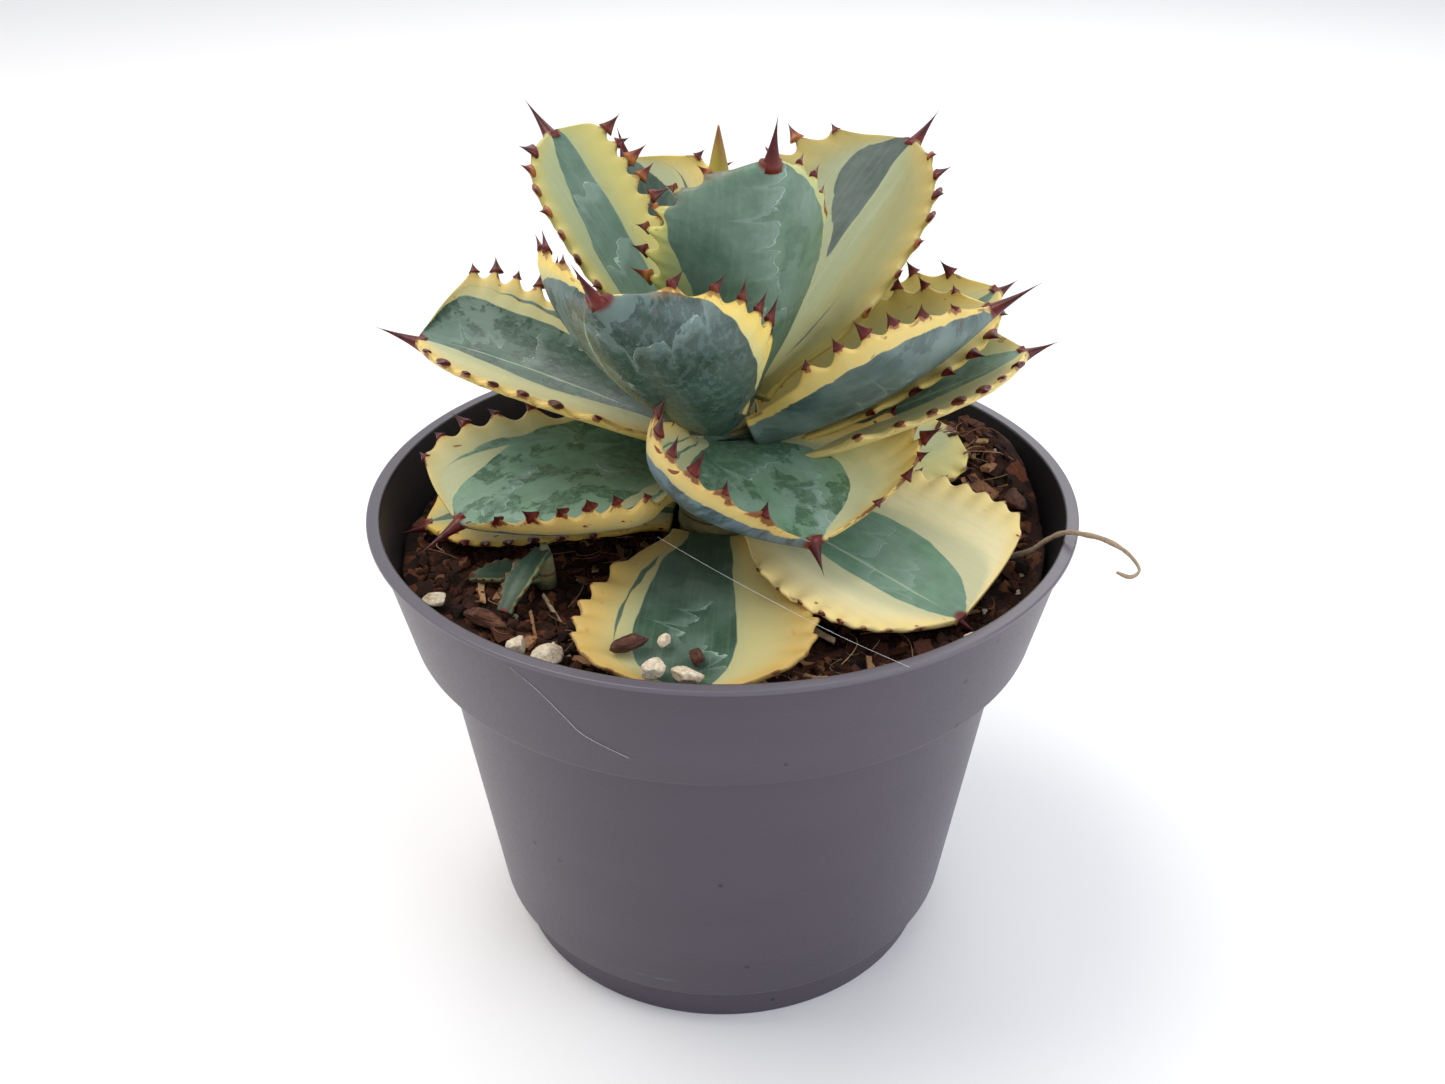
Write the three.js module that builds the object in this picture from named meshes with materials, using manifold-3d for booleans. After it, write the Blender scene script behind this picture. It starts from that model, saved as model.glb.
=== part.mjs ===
// A potted variegated butterfly agave: a compact rosette of broad, folded, toothed leaves on a short
// stem, in a filled round nursery pot. Millimetres, +Z up. The origin is the centre of the pot's
// underside, and -Y is the side towards the viewer.

import * as THREE from 'three';
import { mergeVertices } from 'three/addons/utils/BufferGeometryUtils.js';
import Module from 'manifold-3d';

const wasm = await Module();
wasm.setup();

// Driving dimensions
const GAP = 0.3; // clearance between pieces that touch

const POT = {
  sides: 40,
  rimRadius: 60, rimTop: 86.2, rimWidth: 1.8, lipDepth: 0.8,
  collarTopRadius: 59.05, collarFootRadius: 54.6, stepHeight: 65.1,
  bodyTopRadius: 50.45, bodyFootRadius: 43, footHeight: 8.4,
  footTopRadius: 40.4, footRadius: 39.8,
  wall: 1.2, floor: 2.2,
  drainHoles: 6, drainRadius: 4, drainCircle: 29,
};

const SOIL = {
  level: 76.2, lump: 0.55,
  mound: { x: 46, y: 17, height: 6.5, spread: 9 },
  rings: [12, 21, 30, 38, 46],
};

const STEM = { footHeight: 60, lowRadius: 7.6, midRadius: 5.6, topRadius: 2.6, sides: 16 };

// Blade sizes that every leaf shares
const BLADE = {
  rootThickness: 3.2, tipThickness: 2.0, marginThickness: 0.9,
  neckWidth: 0.7, neckEnd: 0.24, rootWidth: 0.6, tipHalfWidth: 1.3,
  firstTooth: 0.2, lastTooth: 0.96, toothCrowding: 0.8,
  columns: [-1, -0.6, 0, 0.6, 1],
  neckRow: 0.1,
  curlStart: 0.6,
};
const TOOTH = { length: 3.4, foot: 2 };

// Leaves from the soil up to the heart. az is the direction that a leaf grows in: 0 towards the viewer,
// 90 to the right. from is the distance of its root from the axis and z its height; rise and tipRise
// are the slopes at the root and the tip, bend the turn towards the tip, and roll the twist about its
// own length. right and left are the half widths for someone who looks out along the leaf, with the
// fold of each half in degrees; curl is the further turn of the last part towards the margin. widest is
// the place of the greatest width and full how blunt the end is, both as one number or as a pair for
// the right and the left half. tilt is the lift of the terminal spine.
const LEAVES = [
  { name: 'leaf_low_front', az: -6, from: 8.6, z: 81, rise: 2, tipRise: -4, bend: 4, length: 44,
    right: 18.5, left: 17, foldRight: 15, foldLeft: 15, widest: 0.66, full: 3.6, teeth: 7, spine: 3,
    toothSize: 0.35 },
  { name: 'leaf_low_left', az: -90, from: 8.6, z: 80.2, rise: 6, tipRise: -8, bend: 16, length: 42,
    right: 16, left: 14, foldRight: 15, foldLeft: 12, widest: 0.6, full: 2.8, teeth: 7, spine: 5,
    toothSize: 0.7 },
  { name: 'leaf_low_right', az: 114, from: 8.6, z: 82.5, rise: 8, tipRise: 8, length: 38, right: 15,
    left: 15, foldRight: 5, foldLeft: 20, widest: 0.6, full: 3.5, teeth: 6, spine: 3, toothSize: 0.4 },
  { name: 'leaf_low_left_rear', az: -148, from: 8.6, z: 82, rise: 6, tipRise: 0, length: 38, right: 15,
    left: 15, foldRight: 10, foldLeft: 15, widest: 0.55, full: 2.6, teeth: 6, spine: 4, toothSize: 0.7 },
  { name: 'leaf_low_front_right', az: 49, from: 8.6, z: 85, rise: 2, tipRise: -16, roll: -6, length: 41,
    right: 18, left: 24.5, foldRight: 15, foldLeft: 12, widest: [0.5, 0.74], full: [2.8, 4.5], teeth: 8,
    spine: 3, toothSize: 0.4 },
  { name: 'leaf_low_rear', az: 165, from: 8.6, z: 85, rise: 8, tipRise: -2, length: 38, right: 15, left: 15,
    foldRight: 20, foldLeft: 20, widest: 0.55, full: 2.6, teeth: 6, spine: 4, toothSize: 0.7 },
  { name: 'leaf_second_left', az: -84, from: 7, z: 89.5, rise: 14, tipRise: -20, bend: 30, length: 40,
    right: 20.5, left: 25, foldRight: 22, foldLeft: 14, curlLeft: 55, widest: [0.72, 0.5], full: [5, 3.2],
    teeth: 7, spine: 9, tilt: -2, toothSize: 0.9 },
  { name: 'leaf_second_front', az: 24, from: 5.6, z: 97, rise: 2, tipRise: -22, bend: 4, roll: 5,
    length: 28, right: 28, left: 26, foldRight: 30, foldLeft: 10, curlRight: 50, curlLeft: 40, widest: 0.5,
    full: 2.6, teeth: 6, spine: 5, tilt: -30 },
  { name: 'leaf_second_rear', az: 174, from: 6.5, z: 89.5, rise: 20, tipRise: 8, length: 42, right: 16,
    left: 17, foldRight: 25, foldLeft: 30, widest: 0.58, full: 2.8, teeth: 6, spine: 6 },
  { name: 'leaf_second_left_rear', az: -135, from: 6.5, z: 92.5, rise: 22, tipRise: 12, length: 42,
    right: 16, left: 16, foldRight: 30, foldLeft: 25, widest: 0.58, full: 2.8, teeth: 6, spine: 6 },
  { name: 'leaf_second_right', az: 96, from: 6.5, z: 91, rise: 24, tipRise: 20, length: 48, right: 18,
    left: 17, foldRight: 30, foldLeft: 40, widest: 0.58, full: 2.6, teeth: 7, spine: 6, toothSize: 0.8 },
  { name: 'leaf_third_right_rear', az: 108, from: 6, z: 93.5, rise: 28, tipRise: 27, length: 49, right: 15,
    left: 14, foldRight: 10, foldLeft: 45, widest: 0.6, full: 2.8, teeth: 6, spine: 4 },
  { name: 'leaf_third_left', az: -98, from: 6, z: 95.5, rise: 24, tipRise: 12, length: 48, right: 19,
    left: 17, foldRight: 40, foldLeft: 28, widest: [0.78, 0.55], full: [6, 3], teeth: 7, spine: 8, tilt: 8,
    toothSize: 0.8 },
  { name: 'leaf_third_rear', az: 166, from: 5.6, z: 95.5, rise: 28, tipRise: 26, length: 43, right: 15,
    left: 16, foldRight: 35, foldLeft: 40, widest: 0.58, full: 2.8, teeth: 6, spine: 7 },
  { name: 'leaf_third_right', az: 86, from: 6, z: 97.5, rise: 20, tipRise: 43, length: 43, right: 23,
    left: 17, foldRight: 75, foldLeft: 50, widest: 0.55, full: 2.2, teeth: 7, spine: 9, tilt: -10,
    toothSize: 0.7 },
  { name: 'leaf_upper_rear', az: -153, from: 5, z: 100, rise: 46, tipRise: 48, length: 46, right: 14,
    left: 15, foldRight: 40, foldLeft: 40, widest: 0.6, full: 3.4, teeth: 7, spine: 6.5, tilt: 10 },
  { name: 'leaf_third_front', az: -29, from: 5.5, z: 101.5, rise: 27, tipRise: 65, roll: 10, length: 43,
    right: 27, left: 21.5, foldRight: 42, foldLeft: 102, widest: [0.55, 0.52], full: [2.4, 2.6], teeth: 7,
    spine: 6, tilt: -20 },
  { name: 'leaf_upper_left', az: -132, from: 4, z: 104, rise: 50, tipRise: 42, length: 50, right: 13,
    left: 14, foldRight: 30, foldLeft: 30, widest: [0.6, 0.6], full: [6.5, 3.5], teeth: 8, spine: 8 },
  { name: 'leaf_upper_right', az: 132, from: 4, z: 103, rise: 46, tipRise: 36, length: 53, right: 19,
    left: 19, foldRight: 28, foldLeft: 28, widest: [0.42, 0.6], full: [2.6, 4], teeth: 8, spine: 8 },
  { name: 'leaf_upper_front', az: 25, from: 3, z: 105, rise: 66, tipRise: 80, length: 43, right: 16.5,
    left: 16, foldRight: 50, foldLeft: 50, widest: [0.5, 0.55], full: 2.5, teeth: 7, spine: 7 },
];

// A young offset shoot at the front left, with two small leaves
const OFFSET = {
  at: [-29, -17],
  stub: { radius: 1.6, height: 2.4 },
  leaves: [
    { az: -92, from: 0.5, z: 78.2, rise: 7, tipRise: -10, length: 12, right: 3, left: 3 },
    { az: -14, from: 0.5, z: 78.4, rise: 30, tipRise: 0, length: 12.5, right: 3.2, left: 3.2 },
  ],
  small: { foldRight: 40, foldLeft: 40, widest: 0.5, full: 2, teeth: 3, spine: 1.2, toothSize: 0.35,
    swelling: 0.4, wave: 0.2, thickness: 0.55 },
};

// Stones and bark chips: where each lies, its half length, half width and half height, and its turn
const CHIPS = [
  { name: 'pumice_front', at: [-26.2, -40.4], half: [2.7, 2.1, 1.7], turn: 20, kind: 'pumice' },
  { name: 'pumice_front_left', at: [-31.5, -37.4], half: [2.0, 1.5, 1.6], turn: 75, kind: 'pumice' },
  { name: 'pumice_left', at: [-46.6, -22.7], half: [2.0, 1.4, 1.2], turn: 10, kind: 'pumice' },
  { name: 'pumice_front_right', at: [39.6, -35.4], half: [2.8, 2.2, 1.7], turn: 12, kind: 'pumice' },
  { name: 'pumice_rear', at: [-10, 50], half: [2.6, 2.0, 1.6], turn: 50, kind: 'pumice' },
  { name: 'pumice_on_leaf_left', at: [-9.8, -49.2], half: [2.2, 1.7, 1.6], turn: 30, kind: 'pumice', on: 'leaf' },
  { name: 'pumice_on_leaf_right', at: [-5, -50], half: [2.4, 1.7, 1.4], turn: -10, kind: 'pumice', on: 'leaf' },
  { name: 'pumice_on_leaf_top', at: [-8.6, -42.6], half: [1.4, 1.1, 1.2], turn: 60, kind: 'pumice', on: 'leaf' },
  { name: 'bark_on_leaf_left', at: [-13.6, -43.9], half: [3.4, 1.5, 1.2], turn: 25, kind: 'bark', on: 'leaf' },
  { name: 'bark_on_leaf_right', at: [-3.6, -45.4], half: [2.2, 1.1, 1.1], turn: 100, kind: 'bark', on: 'leaf' },
  { name: 'bark_right', at: [50.5, 3], half: [4.6, 2.4, 2.2], turn: 95, kind: 'bark' },
  { name: 'bark_front_left', at: [-37.5, -29], half: [4.8, 2.0, 1.6], turn: -35, kind: 'bark' },
  { name: 'bark_front_right', at: [20.5, -46], half: [4.4, 1.9, 1.6], turn: 30, kind: 'bark' },
  { name: 'bark_rear', at: [16, 49], half: [5, 2.6, 2], turn: -15, kind: 'bark' },
];

// A dead root climbs out of the filling, lies over the rim at the right and ends in a hook
const DRY_ROOT = {
  radius: 0.55, sides: 6, steps: 20,
  points: [[47.5, -13.2, 79.6], [50.4, -15, 81.6], [52.8, -16.8, 85], [54.9, -18.7, 87.4], [57, -20.6, 88.2],
    [59.9, -23, 88.6], [62.8, -25.9, 88], [64.3, -28.7, 86.6], [62.8, -29.7, 85.8], [60.9, -28.6, 86]],
};

const COLOURS = {
  pot: [0x5f5a61, 0.5], soil: [0x3a261a, 1], stem: [0x8a8a5c, 0.8], blade: [0x8fa27a, 0.55],
  bud: [0xb9b96a, 0.5], offset: [0x4f6a4a, 0.6], pumice: [0xd9c9ae, 0.95], bark: [0x5a3320, 0.9],
  root: [0x9a8672, 0.9],
};

const radians = THREE.MathUtils.degToRad;
const clamp = THREE.MathUtils.clamp;
const lerp = THREE.MathUtils.lerp;
const smooth = THREE.MathUtils.smoothstep;

function seeded(seed) {
  let state = seed;
  return () => {
    state = (state * 16807) % 2147483647;
    return state / 2147483647;
  };
}

// Solids: closed meshes in, closed meshes out
function toSolid(geometry) {
  const plain = geometry.clone();
  plain.deleteAttribute('normal');
  plain.deleteAttribute('uv');
  const merged = mergeVertices(plain, 1e-4);
  return new wasm.Manifold(new wasm.Mesh({
    numProp: 3,
    vertProperties: new Float32Array(merged.attributes.position.array),
    triVerts: new Uint32Array(merged.index.array),
  }));
}

function toGeometry(solid) {
  const mesh = solid.getMesh();
  const geometry = new THREE.BufferGeometry();
  geometry.setAttribute('position', new THREE.BufferAttribute(new Float32Array(mesh.vertProperties), 3));
  geometry.setIndex(new THREE.BufferAttribute(new Uint32Array(mesh.triVerts), 1));
  geometry.computeVertexNormals();
  return geometry;
}

function largestPiece(solid) {
  const pieces = solid.decompose();
  return pieces.reduce((best, piece) => (piece.volume() > best.volume() ? piece : best));
}

// A closed skin between two grids of points of the same size, split alike on both faces. A margin cell
// with an entry in leftThorns or rightThorns rises to that point, and the far end rises to endThorn.
function slab(top, bottom, leftThorns = [], rightThorns = [], endThorn = null) {
  const rows = top.length;
  const columns = top[0].length;
  const last = columns - 1;
  const points = [...top.flat(), ...bottom.flat()];
  const index = [];
  const upper = (i, j) => i * columns + j;
  const lower = (i, j) => (rows + i) * columns + j;
  const triangle = (a, b, c) => index.push(a, b, c);
  const quad = (a, b, c, d) => index.push(a, b, c, a, c, d);
  const rise = (outline, apex) => {
    points.push(apex);
    outline.forEach((corner, k) => triangle(corner, outline[(k + 1) % outline.length], points.length - 1));
  };
  for (let i = 0; i < rows - 1; i += 1) {
    for (let j = 0; j < last; j += 1) {
      quad(upper(i, j), upper(i, j + 1), upper(i + 1, j + 1), upper(i + 1, j));
      triangle(lower(i, j), lower(i + 1, j + 1), lower(i, j + 1));
      triangle(lower(i, j), lower(i + 1, j), lower(i + 1, j + 1));
    }
    const right = [upper(i, last), lower(i, last), lower(i + 1, last), upper(i + 1, last)];
    const left = [upper(i, 0), upper(i + 1, 0), lower(i + 1, 0), lower(i, 0)];
    if (rightThorns[i]) rise(right, rightThorns[i]);
    else quad(...right);
    if (leftThorns[i]) rise(left, leftThorns[i]);
    else quad(...left);
  }
  const end = rows - 1;
  for (let j = 0; j < last; j += 1) {
    quad(upper(0, j), lower(0, j), lower(0, j + 1), upper(0, j + 1));
    if (!endThorn) quad(upper(end, j), upper(end, j + 1), lower(end, j + 1), lower(end, j));
  }
  if (endThorn) {
    const across = [...Array(columns).keys()];
    const outline = [...across.map((j) => upper(end, j)), ...across.reverse().map((j) => lower(end, j))];
    rise(outline, endThorn);
  }
  const geometry = new THREE.BufferGeometry();
  const positions = points.flatMap((point) => point.toArray());
  geometry.setAttribute('position', new THREE.Float32BufferAttribute(positions, 3));
  geometry.setIndex(index);
  return geometry;
}

// A leaf's centre line: its heading and slope change evenly from root to tip
function heading(leaf, u) {
  const turn = radians(leaf.az + (leaf.bend ?? 0) * u);
  const slope = radians(lerp(leaf.rise, leaf.tipRise, u));
  return { turn, slope };
}

function direction(leaf, u) {
  const { turn, slope } = heading(leaf, u);
  const level = Math.cos(slope);
  return new THREE.Vector3(level * Math.sin(turn), -level * Math.cos(turn), Math.sin(slope));
}

function leafFrame(leaf, u) {
  const steps = 24;
  const start = radians(leaf.az);
  const origin = leaf.at ?? [0, 0];
  const point = new THREE.Vector3(
    origin[0] + leaf.from * Math.sin(start), origin[1] - leaf.from * Math.cos(start), leaf.z);
  for (let i = 0; i < steps; i += 1) {
    point.addScaledVector(direction(leaf, ((i + 0.5) / steps) * u), (leaf.length * u) / steps);
  }
  const { turn, slope } = heading(leaf, u);
  const along = direction(leaf, u);
  const up = new THREE.Vector3(
    -Math.sin(slope) * Math.sin(turn), Math.sin(slope) * Math.cos(turn), Math.cos(slope));
  const right = new THREE.Vector3().crossVectors(along, up);
  const roll = radians(leaf.roll ?? 0);
  up.applyAxisAngle(along, -roll);
  right.applyAxisAngle(along, -roll);
  return { point, along, up, right };
}

// The place along the margin in teeth: 0 before the first, a tooth at each half, crowded to the tip
function toothPhase(leaf, u) {
  const place = clamp((u - BLADE.firstTooth) / (BLADE.lastTooth - BLADE.firstTooth), 0, 1);
  return leaf.teeth * place ** (1 / BLADE.toothCrowding);
}

function toothPlace(leaf, phase) {
  const span = BLADE.lastTooth - BLADE.firstTooth;
  return BLADE.firstTooth + span * (phase / leaf.teeth) ** BLADE.toothCrowding;
}

// A size of a leaf that may be a pair for its right and its left half
function onSide(value, v) {
  return Array.isArray(value) ? value[v > 0 ? 0 : 1] : value;
}

// Half width of a leaf: a narrow neck, an egg-shaped blade, and a swelling under each tooth
function halfWidth(leaf, u, v) {
  const width = v > 0 ? leaf.right : leaf.left;
  const widest = onSide(leaf.widest, v);
  const neck = lerp(BLADE.neckWidth, 1, smooth(u, 0, BLADE.neckEnd));
  const rising = lerp(BLADE.rootWidth, 1, smooth(u, 0, widest));
  const past = clamp((u - widest) / (1 - widest), 0, 1);
  const falling = Math.max(0, 1 - past ** onSide(leaf.full, v)) ** 0.85;
  const swelling = leaf.swelling ?? 2.4;
  const bump = swelling * Math.sin(Math.PI * toothPhase(leaf, u)) ** 2 * (1 - 0.6 * u);
  return Math.max(BLADE.tipHalfWidth, width * neck * rising * falling + bump * smooth(u, 0.1, 0.3));
}

// For one unit of half width at v: the blade's angle there, and how far out and up it has come
function folded(leaf, v) {
  const fold = radians(v > 0 ? leaf.foldRight : leaf.foldLeft) + 1e-4;
  const curl = radians((v > 0 ? leaf.curlRight : leaf.curlLeft) ?? 0);
  const inner = Math.min(Math.abs(v), BLADE.curlStart);
  const steep = fold + curl / (1 - BLADE.curlStart);
  const bent = fold * inner;
  const angle = bent + steep * (Math.abs(v) - inner);
  const out = Math.sin(bent) / fold + (Math.sin(angle) - Math.sin(bent)) / steep;
  const up = (1 - Math.cos(bent)) / fold + (Math.cos(bent) - Math.cos(angle)) / steep;
  const side = v < 0 ? -1 : 1;
  return { angle: angle * side, out: out * side, up };
}

// The blade's upper face at u along it and v across it, folded on an arc and waved at the margin
function bladePoint(leaf, u, v, grow = 0) {
  const slide = u + (leaf.skew ?? 0.025) * v * Math.sin(Math.PI * u);
  const frame = leafFrame(leaf, slide);
  const reach = halfWidth(leaf, u, v) + grow;
  const { angle, out, up } = folded(leaf, v);
  const wave = (leaf.wave ?? 0.7) * Math.abs(v) ** 3 * smooth(u, 0.1, 0.3) * (1 - 0.6 * u);
  const ripple = -wave * Math.cos(2 * Math.PI * toothPhase(leaf, u));
  const point = frame.point.clone().addScaledVector(frame.right, reach * out);
  point.addScaledVector(frame.up, reach * up + ripple);
  const normal = frame.up.clone().multiplyScalar(Math.cos(angle));
  normal.addScaledVector(frame.right, -Math.sin(angle));
  const outward = frame.right.clone().multiplyScalar(Math.cos(angle));
  outward.addScaledVector(frame.up, Math.sin(angle)).multiplyScalar(Math.sign(v) || 1);
  return { point, normal, outward, along: frame.along };
}

function bladeThickness(leaf, u, v) {
  const scale = leaf.thickness ?? 1;
  const middle = lerp(BLADE.rootThickness, BLADE.tipThickness, u) * scale;
  return lerp(middle, BLADE.marginThickness, Math.abs(v) ** 1.6);
}

// Rows of the blade: its root and neck, a valley, and the two sides of each tooth's foot, then the tip
function bladeRows(leaf) {
  const rows = [{ u: 0 }, { u: BLADE.neckRow }];
  const halfFoot = TOOTH.foot / 2 / leaf.length;
  for (let k = 0; k < leaf.teeth; k += 1) {
    const peak = toothPlace(leaf, k + 0.5);
    rows.push({ u: toothPlace(leaf, k) }, { u: peak - halfFoot, tooth: peak }, { u: peak + halfFoot });
  }
  return [...rows, { u: BLADE.lastTooth }, { u: 1 }];
}

// The point of the tooth at u on one margin: it stands out from the blade and leans to the tip or root
function toothPoint(leaf, u, v, random) {
  const { point, normal, outward, along } = bladePoint(leaf, u, v);
  const length = TOOTH.length * (leaf.toothSize ?? 1) * (0.75 + 0.5 * random()) * (1 - 0.25 * u);
  const lean = outward.clone().addScaledVector(along, 0.8 * (random() - 0.35));
  lean.addScaledVector(normal, 0.5 * (random() - 0.4)).normalize();
  return point.clone().addScaledVector(normal, -BLADE.marginThickness / 2).addScaledVector(lean, length);
}

function spinePoint(leaf) {
  const tip = bladePoint(leaf, 1, 0);
  const tilt = radians(leaf.tilt ?? 0);
  const aim = tip.along.clone().multiplyScalar(Math.cos(tilt)).addScaledVector(tip.normal, Math.sin(tilt));
  const middle = tip.point.clone().addScaledVector(tip.normal, -bladeThickness(leaf, 1, 0) / 2);
  return middle.addScaledVector(aim, leaf.spine);
}

// A leaf with its teeth and spine, or with grow the room that it takes up with a clearance round it
function leafGeometry(leaf, grow = 0) {
  const random = seeded(Math.round(leaf.az + 400) * 7 + Math.round(leaf.z));
  const top = [];
  const bottom = [];
  const thorns = { left: [], right: [] };
  bladeRows(leaf).forEach((row, i) => {
    const cells = BLADE.columns.map((v) => ({ v, ...bladePoint(leaf, row.u, v, grow) }));
    top.push(cells.map((cell) => cell.point.clone().addScaledVector(cell.normal, grow)));
    bottom.push(cells.map((cell) => cell.point.clone().addScaledVector(
      cell.normal, -bladeThickness(leaf, row.u, cell.v) - grow)));
    if (row.tooth) {
      thorns.left[i] = toothPoint(leaf, row.tooth, -1, random);
      thorns.right[i] = toothPoint(leaf, row.tooth, 1, random);
    }
  });
  return slab(top, bottom, thorns.left, thorns.right, spinePoint(leaf));
}

// Each leaf gives way where a younger leaf above it presses on it
function leafSolids() {
  const whole = LEAVES.map((leaf) => toSolid(leafGeometry(leaf)));
  const room = LEAVES.map((leaf) => toSolid(leafGeometry(leaf, GAP)));
  return whole.map((solid, i) => {
    let rest = solid;
    for (let j = i + 1; j < LEAVES.length; j += 1) {
      if (rest.intersect(room[j]).volume() > 0.01) rest = largestPiece(rest.subtract(room[j]));
    }
    return rest;
  });
}

function lathe(profile, sides) {
  return new THREE.LatheGeometry(profile.map(([r, z]) => new THREE.Vector2(r, z)), sides).rotateX(Math.PI / 2);
}

// The radius of the pot's inner face at a height
function potInside(z) {
  const ledge = POT.stepHeight + POT.wall;
  if (z >= ledge) {
    const rise = (z - POT.stepHeight) / (POT.rimTop - POT.stepHeight);
    return lerp(POT.collarFootRadius, POT.collarTopRadius, rise) - POT.wall;
  }
  const rise = (z - POT.footHeight) / (POT.stepHeight - POT.footHeight);
  if (z >= POT.footHeight + POT.wall) return lerp(POT.bodyFootRadius, POT.bodyTopRadius, rise) - POT.wall;
  return lerp(POT.footRadius, POT.footTopRadius, z / POT.footHeight) - POT.wall;
}

// Thin-walled pot: foot, tapered body, step, wider collar and a flat lip, with drain holes in its floor
function potSolid() {
  const ledge = POT.stepHeight + POT.wall;
  const heel = POT.footHeight + POT.wall;
  const lipFoot = POT.rimTop - POT.lipDepth;
  const profile = [
    [0, 0], [POT.footRadius, 0], [POT.footTopRadius, POT.footHeight],
    [POT.bodyFootRadius, POT.footHeight], [POT.bodyTopRadius, POT.stepHeight],
    [POT.collarFootRadius, POT.stepHeight], [POT.collarTopRadius, lipFoot],
    [POT.rimRadius, lipFoot], [POT.rimRadius, POT.rimTop],
    [potInside(POT.rimTop), POT.rimTop], [potInside(ledge), ledge],
    [potInside(ledge - 1e-3), ledge], [potInside(heel), heel],
    [potInside(heel - 1e-3), heel], [potInside(POT.floor), POT.floor], [0, POT.floor],
  ];
  let pot = toSolid(lathe(profile, POT.sides));
  for (let k = 0; k < POT.drainHoles; k += 1) {
    const angle = (2 * Math.PI * (k + 0.5)) / POT.drainHoles;
    const hole = new THREE.CylinderGeometry(POT.drainRadius, POT.drainRadius, 3 * POT.floor, 12);
    hole.rotateX(Math.PI / 2);
    hole.translate(POT.drainCircle * Math.cos(angle), POT.drainCircle * Math.sin(angle), POT.floor / 2);
    pot = pot.subtract(toSolid(hole));
  }
  return pot;
}

// The height of the filling: lumps of bark and coir, with a mound at the right rear
function soilHeight(x, y) {
  const lumps = Math.sin(x / 3.1 + 1) * Math.cos(y / 3.7) + 0.7 * Math.sin(x / 1.9 - y / 2.3);
  const { mound } = SOIL;
  const away = ((x - mound.x) ** 2 + (y - mound.y) ** 2) / (2 * mound.spread ** 2);
  return SOIL.level + SOIL.lump * lumps + mound.height * Math.exp(-away);
}

// The filling: it fits the pot's inside with a small gap, and the stem stands in a plain hole in it
function soilSolid() {
  const ledge = POT.stepHeight + POT.wall;
  const heel = POT.footHeight + POT.wall;
  const wall = [
    [POT.floor + GAP, potInside(POT.floor) - GAP], [heel + GAP, potInside(heel - 1e-3) - GAP],
    [heel + GAP, potInside(heel) - GAP], [ledge + GAP, potInside(ledge - 1e-3) - GAP],
    [ledge + GAP, potInside(ledge) - GAP],
  ];
  const points = [new THREE.Vector3(0, 0, POT.floor + GAP)];
  const ring = (place) => {
    for (let k = 0; k < POT.sides; k += 1) {
      const angle = (2 * Math.PI * k) / POT.sides;
      points.push(place(Math.cos(angle), Math.sin(angle)));
    }
  };
  wall.forEach(([z, r]) => ring((c, s) => new THREE.Vector3(r * c, r * s, z)));
  const brim = potInside(SOIL.level) - GAP - 0.4;
  [brim, ...[...SOIL.rings].reverse()].forEach((r) => {
    ring((c, s) => new THREE.Vector3(r * c, r * s, soilHeight(r * c, r * s)));
  });
  points.push(new THREE.Vector3(0, 0, soilHeight(0, 0)));
  const rings = (points.length - 2) / POT.sides;
  const index = [];
  const at = (i, k) => 1 + i * POT.sides + (k % POT.sides);
  for (let k = 0; k < POT.sides; k += 1) {
    index.push(0, at(0, k + 1), at(0, k));
    for (let i = 0; i < rings - 1; i += 1) {
      index.push(at(i, k), at(i, k + 1), at(i + 1, k + 1), at(i, k), at(i + 1, k + 1), at(i + 1, k));
    }
    index.push(at(rings - 1, k), at(rings - 1, k + 1), points.length - 1);
  }
  const geometry = new THREE.BufferGeometry();
  geometry.setAttribute('position', new THREE.Float32BufferAttribute(points.flatMap((p) => p.toArray()), 3));
  geometry.setIndex(index);
  const radius = STEM.lowRadius + GAP;
  const hole = new THREE.CylinderGeometry(radius, radius, 40, STEM.sides).rotateX(Math.PI / 2);
  hole.translate(0, 0, STEM.footHeight - GAP + 20);
  return toSolid(geometry).subtract(toSolid(hole));
}

// The short stem narrows upwards, just clear of the roots of the leaves that it carries
function stemSolid() {
  const profile = [
    [0, STEM.footHeight], [STEM.lowRadius, STEM.footHeight], [STEM.lowRadius, 85.4], [6, 87],
    [STEM.midRadius, 90], [5.2, 97], [4.4, 100], [3.3, 102.5], [STEM.topRadius, 104.5], [0, 104.5],
  ];
  return toSolid(lathe(profile, STEM.sides));
}

// The rolled youngest leaf stands in the heart
function budSolid() {
  const profile = [
    [0, 104.8], [2.2, 104.8], [3.2, 114], [3.3, 122], [2.6, 131], [1.7, 138.5], [0.9, 142], [0, 147],
  ];
  return toSolid(lathe(profile, 8).translate(-0.6, 1.2, 0));
}

// The highest point of a surface under a small footprint
function topUnder(geometry, x, y, reach) {
  const ray = new THREE.Raycaster();
  const surface = new THREE.Mesh(geometry);
  let highest = -Infinity;
  for (const [dx, dy] of [[0, 0], [1, 0], [-1, 0], [0, 1], [0, -1], [0.7, 0.7], [-0.7, -0.7], [0.7, -0.7],
    [-0.7, 0.7]]) {
    const from = new THREE.Vector3(x + dx * reach, y + dy * reach, POT.rimTop + 20);
    ray.set(from, new THREE.Vector3(0, 0, -1));
    const [hit] = ray.intersectObject(surface);
    if (hit) highest = Math.max(highest, hit.point.z);
  }
  return highest;
}

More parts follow.
